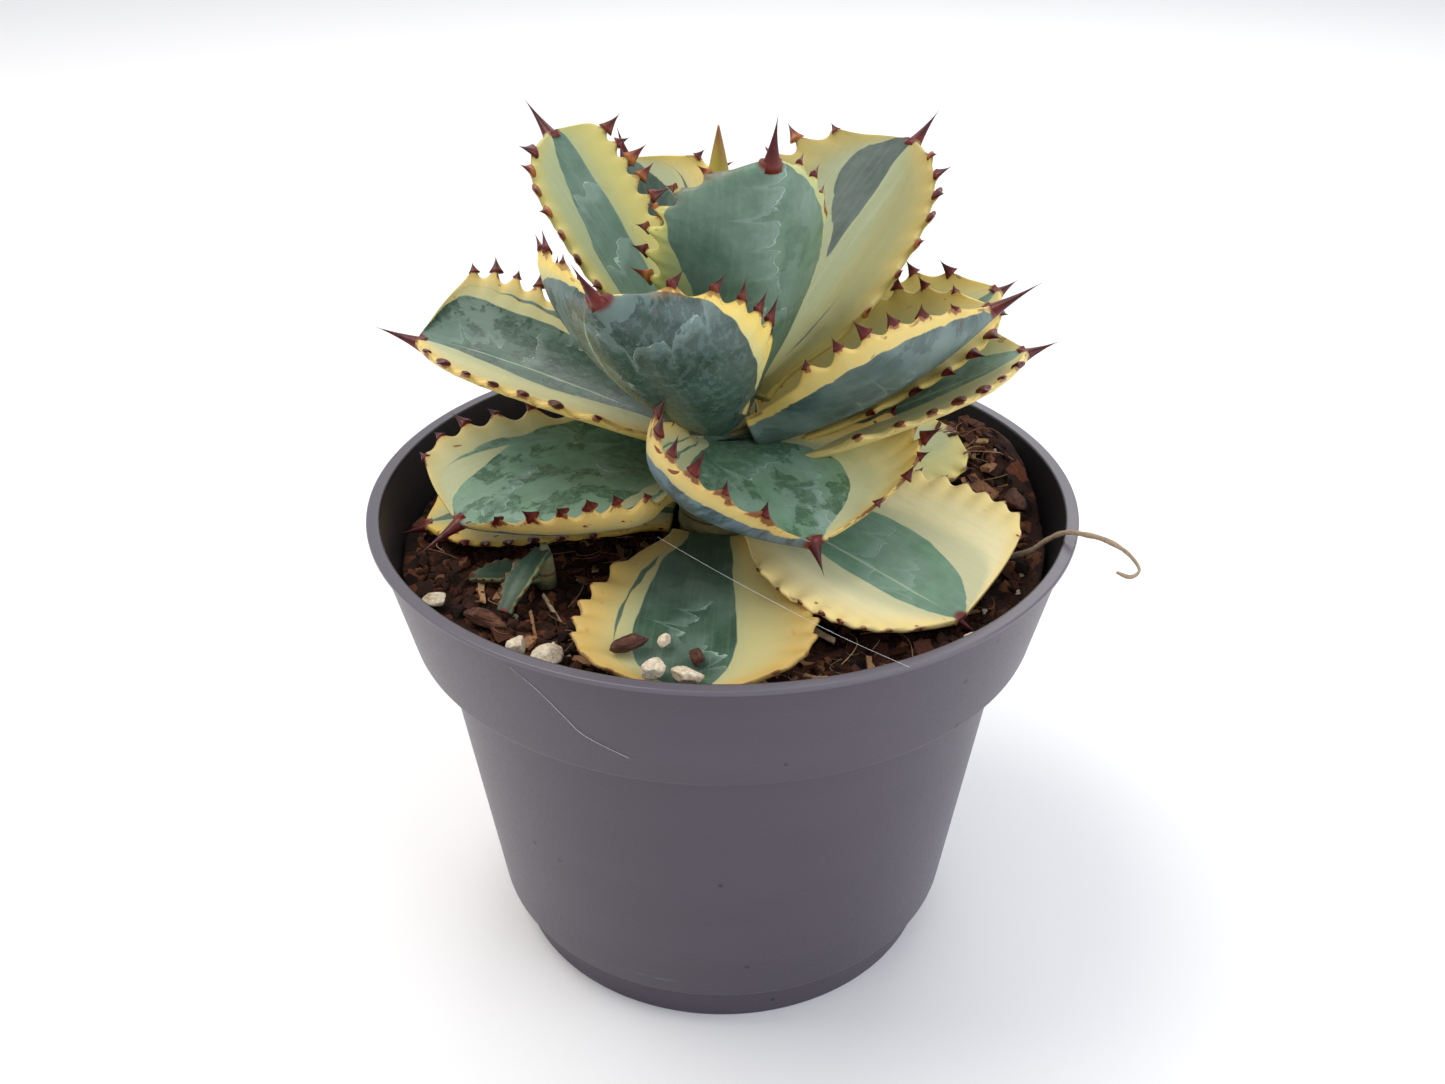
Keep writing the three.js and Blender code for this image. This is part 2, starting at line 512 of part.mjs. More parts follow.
// A broken stone or chip: a rounded many-sided lump with uneven faces and a flat underside
function chipGeometry(chip, ground) {
  const random = seeded(chip.name.length * 131 + Math.round(Math.abs(chip.at[0] * 7)));
  const geometry = mergeVertices(new THREE.DodecahedronGeometry(1).deleteAttribute('normal')
    .deleteAttribute('uv'), 1e-4);
  const place = geometry.attributes.position;
  for (let i = 0; i < place.count; i += 1) {
    const swell = 0.84 + 0.3 * random();
    const z = Math.max(-0.7, place.getZ(i) * swell);
    place.setXYZ(i, place.getX(i) * swell, place.getY(i) * swell, z);
  }
  geometry.scale(...chip.half);
  geometry.rotateZ(radians(chip.turn));
  const [x, y] = chip.at;
  const seat = topUnder(ground, x, y, Math.max(chip.half[0], chip.half[1]) * 0.85);
  geometry.translate(x, y, seat + GAP + 0.7 * chip.half[2]);
  return geometry;
}

function offsetSolid(ground) {
  const [x, y] = OFFSET.at;
  const { radius, height } = OFFSET.stub;
  const stub = new THREE.ConeGeometry(radius, height, 8).rotateX(Math.PI / 2);
  stub.translate(x, y, topUnder(ground, x, y, radius) + GAP + height / 2);
  const leaves = OFFSET.leaves.map((leaf) => leafGeometry({ ...OFFSET.small, ...leaf, at: OFFSET.at }));
  return wasm.Manifold.union([stub, ...leaves].map(toSolid));
}

function dryRootGeometry() {
  const path = new THREE.CatmullRomCurve3(DRY_ROOT.points.map((point) => new THREE.Vector3(...point)));
  const section = new THREE.Shape();
  for (let k = 0; k <= DRY_ROOT.sides; k += 1) {
    const angle = (2 * Math.PI * k) / DRY_ROOT.sides;
    const corner = [DRY_ROOT.radius * Math.cos(angle), DRY_ROOT.radius * Math.sin(angle)];
    if (k === 0) section.moveTo(...corner);
    else section.lineTo(...corner);
  }
  return new THREE.ExtrudeGeometry(section, { steps: DRY_ROOT.steps, extrudePath: path });
}

const plant = new THREE.Group();

function place(name, geometry, kind) {
  const [color, roughness] = COLOURS[kind];
  const mesh = new THREE.Mesh(geometry, new THREE.MeshStandardMaterial({ color, roughness, metalness: 0 }));
  mesh.name = name;
  plant.add(mesh);
  return geometry;
}

place('pot', toGeometry(potSolid()), 'pot');
const soil = place('soil', toGeometry(soilSolid()), 'soil');
place('stem', toGeometry(stemSolid()), 'stem');
const leaves = leafSolids().map((solid, i) => place(LEAVES[i].name, toGeometry(solid), 'blade'));
place('bud_spear', toGeometry(budSolid()), 'bud');
place('offset_shoot', toGeometry(offsetSolid(soil)), 'offset');
place('dry_root', dryRootGeometry(), 'root');
for (const chip of CHIPS) {
  place(chip.name, chipGeometry(chip, chip.on === 'leaf' ? leaves[0] : soil), chip.kind);
}

export default plant;
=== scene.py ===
# A potted variegated butterfly agave, dressed for the render: metres, +Z up, -Y towards the viewer.
import math
import random
import bmesh
import bpy
import numpy as np
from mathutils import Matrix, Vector, noise


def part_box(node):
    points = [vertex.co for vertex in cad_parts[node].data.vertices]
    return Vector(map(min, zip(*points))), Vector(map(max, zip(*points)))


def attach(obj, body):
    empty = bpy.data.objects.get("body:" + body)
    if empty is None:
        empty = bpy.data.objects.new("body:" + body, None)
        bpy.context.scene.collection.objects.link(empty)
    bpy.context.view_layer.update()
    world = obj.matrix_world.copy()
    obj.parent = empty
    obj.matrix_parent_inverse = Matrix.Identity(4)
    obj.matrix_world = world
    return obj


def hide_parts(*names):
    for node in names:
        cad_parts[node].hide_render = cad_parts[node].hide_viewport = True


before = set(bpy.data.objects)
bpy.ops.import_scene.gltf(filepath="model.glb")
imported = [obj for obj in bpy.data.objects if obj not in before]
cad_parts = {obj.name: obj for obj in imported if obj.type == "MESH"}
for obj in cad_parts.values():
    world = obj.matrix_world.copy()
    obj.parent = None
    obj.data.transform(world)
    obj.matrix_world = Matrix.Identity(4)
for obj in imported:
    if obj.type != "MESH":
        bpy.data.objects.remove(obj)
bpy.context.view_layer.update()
MM = 0.001

# The view: a phone held close above the rim, level from side to side, looking down at the rosette.
# The photograph is 1445 pixels wide, and its focal length in pixels comes from the ellipse of the rim.
PHOTO_WIDTH = 1445
FOCAL_PIXELS = 1400
camera_data = bpy.data.cameras.new("camera")
camera_data.sensor_width = 36
camera_data.lens = FOCAL_PIXELS / PHOTO_WIDTH * camera_data.sensor_width
camera = bpy.data.objects.new("camera", camera_data)
camera.location = (0, -213 * MM, 199.3 * MM)
camera.rotation_euler = (math.radians(90 - 30.33), 0, 0)
bpy.context.collection.objects.link(camera)
bpy.context.scene.camera = camera
bpy.context.scene.view_settings.view_transform = "Standard"


# The studio: a pale floor, an even overcast sky, and broad soft lamps above and behind the plant, with
# a weak one in front at the right, as daylight fell on it.
def linear(code):
    """An sRGB hex colour as the linear values that Blender works in."""
    parts = [int(code[i:i + 2], 16) / 255 for i in (1, 3, 5)]
    return [c / 12.92 if c <= 0.04045 else ((c + 0.055) / 1.055) ** 2.4 for c in parts] + [1.0]


def new_material(name):
    """An empty node material: the material, its tree and its shader."""
    material = bpy.data.materials.new(name)
    material.use_nodes = True
    tree = material.node_tree
    return material, tree, tree.nodes["Principled BSDF"]


def mesh_piece(name, points, faces, material, smooth=True):
    """A mesh object at the origin, from points in millimetres."""
    mesh = bpy.data.meshes.new(name)
    mesh.from_pydata((np.asarray(points) * MM).tolist(), [], faces)
    mesh.materials.append(material)
    if smooth:
        mesh.shade_smooth()
    piece = bpy.data.objects.new(name, mesh)
    bpy.context.collection.objects.link(piece)
    return piece


FLOOR_HALF = 1500
floor_paint, tree, shader = new_material("pale studio floor, matt")
shader.inputs["Base Color"].default_value = linear("#fbfafa")
shader.inputs["Roughness"].default_value = 0.9
corners = [(-FLOOR_HALF, -FLOOR_HALF, 0), (FLOOR_HALF, -FLOOR_HALF, 0),
           (FLOOR_HALF, FLOOR_HALF, 0), (-FLOOR_HALF, FLOOR_HALF, 0)]
mesh_piece("studio_floor", corners, [(0, 1, 2, 3)], floor_paint, smooth=False)

world = bpy.data.worlds.new("overcast sky")
world.use_nodes = True
sky = world.node_tree.nodes["Background"]
sky.inputs["Color"].default_value = linear("#f4f7fb")
sky.inputs["Strength"].default_value = 0.75
bpy.context.scene.world = world


def lamp(name, place, size, power, colour):
    """A soft square lamp at a place in millimetres, aimed at the rosette."""
    data = bpy.data.lights.new(name, "AREA")
    data.size = size * MM
    data.energy = power
    data.color = linear(colour)[:3]
    light = bpy.data.objects.new(name, data)
    light.location = Vector(place) * MM
    aim = Vector((0, 0, 90)) * MM
    light.rotation_euler = (aim - light.location).to_track_quat("-Z", "Y").to_euler()
    bpy.context.collection.objects.link(light)


lamp("key", (-420, 60, 950), 600, 5.0, "#fff8ee")
lamp("fill", (700, -400, 500), 700, 3.2, "#eef4ff")
lamp("back", (200, 750, 750), 700, 2.4, "#ffffff")


# The nursery pot: injection-moulded polypropylene in a warm grey, with a stepped collar, a thin lip
# and drain holes. It is turned from one profile with rounded edges.
RGBA = dict(data_type="RGBA")
TIMES = dict(operation="MULTIPLY")
LARGER = dict(operation="MAXIMUM")


def add(tree, kind, *values, named=(), **settings):
    """Add a node: values, nodes or outputs fill its inputs in order, and named ones by their names."""
    node = tree.nodes.new(kind if "Node" in kind else "ShaderNode" + kind)
    for name, value in settings.items():
        setattr(node, name, value)
    sockets = [socket for socket in node.inputs if socket.enabled]
    by_name = [(next(s for s in sockets if s.name == name), value) for name, value in dict(named).items()]
    for socket, value in [*zip(sockets, values), *by_name]:
        if isinstance(value, bpy.types.Node):
            value = next(output for output in value.outputs if output.enabled)
        if isinstance(value, bpy.types.NodeSocket):
            tree.links.new(value, socket)
        elif value is not None:
            socket.default_value = value
    return node


def drive(tree, shader, **values):
    """Fill the shader's inputs, named with underscores: a number goes in the socket, a node is linked."""
    for name, value in values.items():
        socket = shader.inputs[name.replace("_", " ")]
        if isinstance(value, bpy.types.Node):
            tree.links.new(next(output for output in value.outputs if output.enabled), socket)
        else:
            socket.default_value = value


def object_millimetres(tree):
    """Object coordinates in millimetres."""
    place = add(tree, "TexCoord")
    scaled = add(tree, "VectorMath", place.outputs["Object"], operation="SCALE")
    scaled.inputs["Scale"].default_value = 1000
    return scaled


def finish(piece, slot, *nodes):
    """Let a piece ride on the plant and stand for its CAD nodes; its slot is not used."""
    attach(piece, "root")
    if nodes:
        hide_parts(*nodes)


def rounded(corners):
    """A profile of (radius, height, rounding) with an arc in place of each rounded corner."""
    line = []
    for k, (r, z, size) in enumerate(corners):
        here = Vector((r, z))
        if not size:
            line.append((r, z))
            continue
        before = Vector(corners[k - 1][:2])
        after = Vector(corners[k + 1][:2])
        start = here + (before - here).normalized() * size
        end = here + (after - here).normalized() * size
        for t in np.linspace(0, 1, 6):
            mid = start.lerp(here, t).lerp(here.lerp(end, t), t)
            line.append((mid.x, mid.y))
    return line


def turned(profile, sides, closed=True):
    """The points and outward faces of a profile turned round the axis, with flat ends if closed."""
    angles = np.arange(sides) * 2 * math.pi / sides
    points = [(r * math.cos(a), r * math.sin(a), z) for r, z in profile for a in angles]
    faces = []
    for i in range(len(profile) - 1):
        for k in range(sides):
            n = (k + 1) % sides
            faces.append((i * sides + k, i * sides + n, (i + 1) * sides + n, (i + 1) * sides + k))
    if closed:
        faces.append(tuple(reversed(range(sides))))
        faces.append(tuple(len(points) - sides + k for k in range(sides)))
    return points, faces


RIM_RADIUS = 60.0
RIM_TOP = 86.2
COLLAR_TOP = 59.05
COLLAR_FOOT = 54.6
STEP_HEIGHT = 65.1
BODY_TOP = 50.45
BODY_FOOT = 43.0
FOOT_HEIGHT = 8.4
FOOT_TOP = 40.4
FOOT_RADIUS = 39.8
WALL = 1.2
FLOOR_THICKNESS = 2.2
DRAIN_HOLES = 6
DRAIN_RADIUS = 4.0
DRAIN_CIRCLE = 29.0


def pot_inside(z):
    """The radius of the pot's inner face at a height."""
    if z >= STEP_HEIGHT + WALL:
        rise = (z - STEP_HEIGHT) / (RIM_TOP - STEP_HEIGHT)
        return COLLAR_FOOT + (COLLAR_TOP - COLLAR_FOOT) * rise - WALL
    if z >= FOOT_HEIGHT + WALL:
        rise = (z - FOOT_HEIGHT) / (STEP_HEIGHT - FOOT_HEIGHT)
        return BODY_FOOT + (BODY_TOP - BODY_FOOT) * rise - WALL
    return FOOT_RADIUS + (FOOT_TOP - FOOT_RADIUS) * z / FOOT_HEIGHT - WALL


# Polypropylene moulded in a fine-grained steel mould: a soft sheen, faint flow bands round the body,
# a lip painted paler as painted light on its upturned top, scratches near the foot, and specks of soil;
# its inner face is painted dark, as painted shade inside the pot, and is damp
pot_plastic, tree, shader = new_material("polypropylene, moulded, warm grey")
place = object_millimetres(tree)
heights = add(tree, "SeparateXYZ", place)
flow_place = add(tree, "VectorMath", place, (0.012, 0.012, 0.09), **TIMES)
flow = add(tree, "TexNoise", flow_place, 1.0, 3.0)
grain = add(tree, "TexNoise", place, 1.6, 2.0)
scratch_place = add(tree, "VectorMath", place, (0.05, 0.05, 1.3), **TIMES)
scratch = add(tree, "TexNoise", scratch_place, 1.0, 4.0, 0.7)
scratched = add(tree, "MapRange", scratch, 0.63, 0.72, interpolation_type="SMOOTHSTEP")
low_down = add(tree, "MapRange", heights.outputs["Z"], 26.0, 6.0, interpolation_type="SMOOTHSTEP")
scuff = add(tree, "Math", scratched, low_down, **TIMES)
tone = add(tree, "Mix", flow, linear("#3a323e"), linear("#473e4b"), **RGBA)
tone = add(tree, "Mix", scuff, tone, linear("#69666d"), **RGBA)
# Painted light: the lip is painted paler where its top faces up to the light, and it is glossier there
lit_glossy_lip = add(tree, "MapRange", heights.outputs["Z"], RIM_TOP - 1, RIM_TOP - 0.3, 0.0, 0.5)
tone = add(tree, "Mix", lit_glossy_lip, tone, linear("#77737b"), **RGBA)
cells = add(tree, "TexVoronoi", place, named={"Scale": 0.22})
rare = add(tree, "MapRange", add(tree, "SeparateColor", cells.outputs["Color"]), 0.9, 0.91)
small = add(tree, "MapRange", cells, 0.13, 0.09)
speck = add(tree, "Math", rare, small, **TIMES)
tone = add(tree, "Mix", speck, tone, linear("#1c1514"), **RGBA)
# Painted shade: the inner face of the wall is painted near black, as shade inside the pot together with
# damp
level = add(tree, "VectorMath", place, (1, 1, 0), **TIMES)
normal = add(tree, "NewGeometry").outputs["Normal"]
outwards = add(tree, "VectorMath", level, normal, operation="DOT_PRODUCT").outputs["Value"]
inner = add(tree, "MapRange", outwards, -5.0, -25.0)
tone = add(tree, "Mix", inner, tone, linear("#232126"), **RGBA)
shine = add(tree, "MapRange", grain, 0.0, 1.0, 0.34, 0.46)
shine = add(tree, "Mix", lit_glossy_lip, shine, 0.18)
relief = add(tree, "Math", grain, scuff, operation="SUBTRACT")
bump = add(tree, "Bump", named={"Height": relief, "Strength": 0.12, "Distance": 0.2 * MM})
drive(tree, shader, Base_Color=tone, Roughness=shine, Normal=bump)

LIP_FOOT = RIM_TOP - 0.8
LEDGE = STEP_HEIGHT + WALL
HEEL = FOOT_HEIGHT + WALL
POT_SIDES = 192
pot_profile = rounded([
    (0, 0, 0), (FOOT_RADIUS, 0, 0.5), (FOOT_TOP, FOOT_HEIGHT, 0.15), (BODY_FOOT, FOOT_HEIGHT, 0.7),
    (BODY_TOP, STEP_HEIGHT, 0.4), (COLLAR_FOOT, STEP_HEIGHT, 0.7), (COLLAR_TOP, LIP_FOOT, 0.3),
    (RIM_RADIUS, LIP_FOOT, 0.3), (RIM_RADIUS, RIM_TOP, 0.35), (pot_inside(RIM_TOP), RIM_TOP, 0.45),
    (pot_inside(LEDGE), LEDGE, 0.5), (pot_inside(LEDGE - 0.01), LEDGE, 0.5),
    (pot_inside(HEEL), HEEL, 0.4), (pot_inside(HEEL - 0.01), HEEL, 0.2),
    (pot_inside(FLOOR_THICKNESS), FLOOR_THICKNESS, 0), (0, FLOOR_THICKNESS, 0)])
pot = mesh_piece("nursery_pot", *turned(pot_profile[1:-1], POT_SIDES), pot_plastic)
hole_line = [(DRAIN_RADIUS, -1), (DRAIN_RADIUS, FLOOR_THICKNESS + 1)]
points, faces = [], []
for k in range(DRAIN_HOLES):
    angle = 2 * math.pi * (k + 0.5) / DRAIN_HOLES
    shift = (DRAIN_CIRCLE * math.cos(angle), DRAIN_CIRCLE * math.sin(angle), 0)
    wall_points, wall_faces = turned(hole_line, 24)
    faces += [tuple(c + len(points) for c in face) for face in wall_faces]
    points += [tuple(Vector(p) + Vector(shift)) for p in wall_points]
drill = mesh_piece("drain_drill", points, faces, pot_plastic)
cut = pot.modifiers.new("drain holes", "BOOLEAN")
cut.object = drill
cut.solver = "EXACT"
graph = bpy.context.evaluated_depsgraph_get()
pierced = bpy.data.meshes.new_from_object(pot.evaluated_get(graph))
pot.modifiers.clear()
pot.data = pierced
bpy.data.objects.remove(drill)
finish(pot, "pot", "pot")


# The filling: a coarse potting mix of composted bark and coir, poured in and settled by watering, with
# a fibrous mound at the right rear. Its skin is lumpy, and loose crumbs, shards and fibres lie on it.
def named_tree(name, sizes):
    """A Geometry Nodes tree with a geometry input and named size inputs, and its input sockets."""
    tree = bpy.data.node_groups.new(name, "GeometryNodeTree")
    tree.interface.new_socket("Geometry", in_out="INPUT", socket_type="NodeSocketGeometry")
    tree.interface.new_socket("Geometry", in_out="OUTPUT", socket_type="NodeSocketGeometry")
    for size, value in sizes.items():
        kind = "NodeSocketInt" if isinstance(value, int) else "NodeSocketFloat"
        tree.interface.new_socket(size, in_out="INPUT", socket_type=kind).default_value = value
    return tree, tree.nodes.new("NodeGroupInput").outputs


def grow(piece, tree, **sizes):
    """Run a Geometry Nodes tree on a piece and keep what it makes as the piece's plain mesh."""
    modifier = piece.modifiers.new(tree.name, "NODES")
    modifier.node_group = tree
    for socket in tree.interface.items_tree:
        if socket.name in sizes:
            modifier[socket.identifier] = sizes[socket.name]
    graph = bpy.context.evaluated_depsgraph_get()
    made = bpy.data.meshes.new_from_object(piece.evaluated_get(graph), depsgraph=graph)
    piece.modifiers.clear()
    piece.data = made


GAP = 0.3
SOIL_LEVEL = 76.2
SOIL_LUMP = 0.55
MOUND_PLACE = (46, 17)
MOUND_HEIGHT = 8.5
MOUND_SPREAD = 9.5
BANK_HEIGHT = 3.2
BANK_START = 32
BANK_SIDE_RUN = 16
BANK_FRONT = -30
BANK_REAR = 45
BANK_END_RUN = 20
SOIL_SIDES = 200
SOIL_RINGS = 84


def mound_share(x, y):
    away = ((x - MOUND_PLACE[0]) ** 2 + (y - MOUND_PLACE[1]) ** 2) / (2 * MOUND_SPREAD ** 2)
    return np.exp(-away)


def soil_height(x, y):
    """The settled surface: broad lumps with the mound, and a bank against the wall at the right."""
    from_side = np.clip((x - BANK_START) / BANK_SIDE_RUN, 0, 1)
    from_front = np.clip((y - BANK_FRONT) / BANK_END_RUN, 0, 1)
    from_rear = np.clip((BANK_REAR - y) / BANK_END_RUN, 0, 1)
    bank = BANK_HEIGHT * from_side * from_front * from_rear
    lumps = np.sin(x / 3.1 + 1) * np.cos(y / 3.7) + 0.7 * np.sin(x / 1.9 - y / 2.3)
    return SOIL_LEVEL + SOIL_LUMP * lumps + MOUND_HEIGHT * mound_share(x, y) + bank


def crumbly(x, y):
    """The fine relief of the mix in millimetres: packed crumbs 3 mm across, with pits between them."""
    near = noise.voronoi(Vector((x * 0.34, y * 0.34, 0)))[0][0]
    small = noise.voronoi(Vector((x * 0.8, y * 0.8, 5)))[0][0]
    return 1.3 * (0.45 - near) + 0.5 * (0.4 - small) + 0.5 * noise.noise(Vector((x, y, 9)) * 0.16)


# The mix is damp below and dry on top: dark brown humus with redder bark and a few paler grains. It
# takes the eye as a rough, light-drinking ground that makes the leaves stand out.
mix, tree, shader = new_material("potting mix, composted bark and coir")
place = object_millimetres(tree)
cells = add(tree, "TexVoronoi", place, named={"Scale": 0.42})
shade = add(tree, "SeparateColor", cells.outputs["Color"])
patches = add(tree, "TexNoise", place, 0.07, 3.0)
tone = add(tree, "Mix", shade, linear("#190e0a"), linear("#3f251a"), **RGBA)
russet = add(tree, "MapRange", shade.outputs["Green"], 0.74, 0.84)
tone = add(tree, "Mix", russet, tone, linear("#6b3d29"), **RGBA)
dusty = add(tree, "MapRange", patches, 0.5, 0.75, 0.0, 0.35)
tone = add(tree, "Mix", dusty, tone, linear("#6d5342"), **RGBA)
grit = add(tree, "TexNoise", place, 1.7, 4.0, 0.7)
tone = add(tree, "Mix", 1.0, tone, grit, **RGBA, blend_type="OVERLAY")
bump = add(tree, "Bump", named={"Height": grit, "Strength": 1.0, "Distance": 0.6 * MM})
drive(tree, shader, Base_Color=tone, Roughness=0.95, Specular_IOR_Level=0.25, Normal=bump)

soil_wall = [
    (pot_inside(FLOOR_THICKNESS) - GAP, FLOOR_THICKNESS + GAP),
    (pot_inside(HEEL - 0.01) - GAP, HEEL + GAP),
    (pot_inside(HEEL) - GAP, HEEL + GAP), (pot_inside(LEDGE - 0.01) - GAP, LEDGE + GAP),
    (pot_inside(LEDGE) - GAP, LEDGE + GAP)]
BRIM = pot_inside(SOIL_LEVEL) - 0.6
skin_rings = [(r, SOIL_LEVEL) for r in np.linspace(BRIM, 0.4, SOIL_RINGS)]
points, faces = turned(soil_wall + skin_rings, SOIL_SIDES)
points = np.array(points)
ground_start = len(soil_wall) * SOIL_SIDES
for point in points[ground_start:]:
    point[2] = soil_height(point[0], point[1]) + crumbly(point[0], point[1])
filling = mesh_piece("soil_filling", points, faces, mix)
finish(filling, "soil", "soil")

ground_faces = [tuple(c - ground_start for c in face) for face in faces[:-2] if min(face) >= ground_start]
ground_points = points[ground_start:]
mound_here = mound_share(ground_points[:, 0], ground_points[:, 1]).astype(np.float32)

# One tree strews copies of a shape over the ground, thicker on the mound: each is turned at random,
# tipped no more than Tilt, sized between Smallest and Largest, and given its own tint
STREW = {"Density": 1.0, "Mound": 0.0, "Smallest": 0.5, "Largest": 1.5, "Tilt": 3.1, "Lift": 0.2,
         "Seed": 1}


def strew(name, shape, material, margin, **wanted):
    """Strew a shape, which a function adds to the tree in units of 1 mm, over all but a margin."""
    tree, sizes = named_tree(name, STREW)
    share = add(tree, "GeometryNodeInputNamedAttribute", "mound", data_type="FLOAT")
    thick = add(tree, "Math", share, sizes["Mound"], sizes["Density"], operation="MULTIPLY_ADD")
    spots = add(tree, "GeometryNodeDistributePointsOnFaces", named={
        "Mesh": sizes["Geometry"], "Density": thick, "Seed": sizes["Seed"]})
    less = add(tree, "Math", sizes["Tilt"], -1.0, **TIMES)
    low_turn = add(tree, "CombineXYZ", less, less, 0.0)
    high_turn = add(tree, "CombineXYZ", sizes["Tilt"], sizes["Tilt"], 6.283)
    turn = add(tree, "FunctionNodeRandomValue", data_type="FLOAT_VECTOR", named={
        "Min": low_turn, "Max": high_turn, "Seed": sizes["Seed"]})
    turn = add(tree, "FunctionNodeEulerToRotation", turn.outputs["Value"])
    low_size = add(tree, "CombineXYZ", sizes["Smallest"], sizes["Smallest"], sizes["Smallest"])
    high_size = add(tree, "CombineXYZ", sizes["Largest"], sizes["Largest"], sizes["Largest"])
    size = add(tree, "FunctionNodeRandomValue", data_type="FLOAT_VECTOR", named={
        "Min": low_size, "Max": high_size, "Seed": sizes["Seed"]})
    copies = add(tree, "GeometryNodeInstanceOnPoints", named={
        "Points": spots.outputs["Points"], "Instance": shape(tree), "Rotation": turn,
        "Scale": size.outputs["Value"]})
    up = add(tree, "CombineXYZ", 0.0, 0.0, sizes["Lift"])
    lifted = add(tree, "GeometryNodeTranslateInstances", copies, named={"Translation": up})
    tint = add(tree, "FunctionNodeRandomValue", data_type="FLOAT", named={
        "Min": 0.0, "Max": 1.0, "Seed": sizes["Seed"]})
    tinted = add(tree, "GeometryNodeStoreNamedAttribute", lifted, domain="INSTANCE", named={
        "Name": "tint", "Value": next(output for output in tint.outputs if output.enabled)})
    real = add(tree, "GeometryNodeRealizeInstances", tinted)
    coloured = add(tree, "GeometryNodeSetMaterial", real, named={"Material": material})
    add(tree, "NodeGroupOutput", coloured)
    within = [face for face in ground_faces if np.hypot(*ground_points[face[0]][:2]) < BRIM - margin]
    piece = mesh_piece(name, ground_points, within, material)
    layer = piece.data.attributes.new("mound", "FLOAT", "POINT")
    layer.data.foreach_set("value", mound_here)
    wanted["Lift"] = wanted.get("Lift", 0.0) * MM
    grow(piece, tree, **wanted)
    finish(piece, "soil")


def lump(tree):
    """An angular crumb of twenty faces, a millimetre in radius."""
    ball = add(tree, "GeometryNodeMeshIcoSphere", MM, 1)
    place = add(tree, "GeometryNodeInputPosition")
    rough = add(tree, "TexNoise", place, 700.0)
    shift = add(tree, "VectorMath", rough.outputs["Color"], (0.5, 0.5, 0.5), operation="SUBTRACT")
    shift = add(tree, "VectorMath", shift, (1.6 * MM, 1.6 * MM, 1.2 * MM), **TIMES)
    return add(tree, "GeometryNodeSetPosition", ball, named={"Offset": shift})


def shard(tree, size=(4.2 * MM, 1.7 * MM, 0.7 * MM)):
    """A flake of bark, 4 mm long, with broken ends."""
    block = add(tree, "GeometryNodeMeshCube", size, 5, 3, 2)
    place = add(tree, "GeometryNodeInputPosition")
    rough = add(tree, "TexNoise", place, 480.0)
    shift = add(tree, "VectorMath", rough.outputs["Color"], (0.5, 0.5, 0.5), operation="SUBTRACT")
    shift = add(tree, "VectorMath", shift, (2.6 * MM, 1.8 * MM, 1.1 * MM), **TIMES)
    return add(tree, "GeometryNodeSetPosition", block, named={"Offset": shift})


def splinter(tree):
    """A long thin splinter."""
    return shard(tree, (6 * MM, 0.8 * MM, 0.5 * MM))


def fibre(tree):
    """A bent hair of coir, 7 mm long and a sixth of a millimetre thick."""
    bow = add(tree, "GeometryNodeCurveQuadraticBezier", 7, (-3.2 * MM, 0, 0),
              (0.4 * MM, 3.4 * MM, 1.6 * MM), (3.4 * MM, -0.8 * MM, 0.3 * MM))
    ring = add(tree, "GeometryNodeCurvePrimitiveCircle", named={"Resolution": 4, "Radius": 0.08 * MM})
    return add(tree, "GeometryNodeCurveToMesh", bow, ring, named={"Fill Caps": True})


# Loose bits are drier than the ground: bark from black-brown to russet, coir the colour of straw, and
# grains of pumice that are nearly white
def loose_material(name, dark, light, rare):
    """A rough finish between two colours by each bit's tint, with a third on the last few."""
    material, tree, shader = new_material(name)
    tint = add(tree, "Attribute", attribute_name="tint").outputs["Fac"]
    grit = add(tree, "TexNoise", object_millimetres(tree), 2.2, 3.0, 0.65)
    tone = add(tree, "Mix", tint, linear(dark), linear(light), **RGBA)
    few = add(tree, "MapRange", tint, 0.86, 0.9)
    tone = add(tree, "Mix", few, tone, linear(rare), **RGBA)
    tone = add(tree, "Mix", 0.8, tone, grit, **RGBA, blend_type="OVERLAY")
    bump = add(tree, "Bump", named={"Height": grit, "Strength": 0.9, "Distance": 0.3 * MM})
    drive(tree, shader, Base_Color=tone, Roughness=0.9, Specular_IOR_Level=0.3, Normal=bump)
    return material


crumb_bark = loose_material("composted bark crumbs, dry", "#1c110c", "#4b2b1c", "#74492f")
shard_bark = loose_material("pine bark splinters, broken", "#321b13", "#693c27", "#9a7050")
straw = loose_material("bark splinters, weathered pale", "#7a5236", "#c79f74", "#dcc09a")
coir = loose_material("coir fibres, retted", "#6b4a33", "#a98763", "#c9a983")
pale_grit = loose_material("pumice grit, crushed", "#b7a58e", "#e2d4bd", "#f0e6d4")
strew("soil_crumbs", lump, crumb_bark, 2.0, Density=240000.0, Mound=220000.0, Smallest=0.3, Largest=1.7,
      Seed=3, Lift=0.15)
strew("soil_shards", shard, shard_bark, 4.5, Density=21000.0, Mound=160000.0, Smallest=0.4, Largest=1.6,
      Tilt=0.5, Seed=8, Lift=0.6)
strew("soil_chips", splinter, straw, 6.5, Density=9000.0, Mound=20000.0, Smallest=0.5, Largest=1.4,
      Tilt=0.45, Seed=21, Lift=1.1)
strew("soil_fibres", fibre, coir, 5.5, Density=22000.0, Mound=260000.0, Smallest=0.4, Largest=1.5,
      Tilt=0.35, Seed=5, Lift=0.7)
strew("soil_grit", lump, pale_grit, 1.5, Density=9000.0, Mound=6000.0, Smallest=0.3, Largest=0.85,
      Seed=12, Lift=0.5)


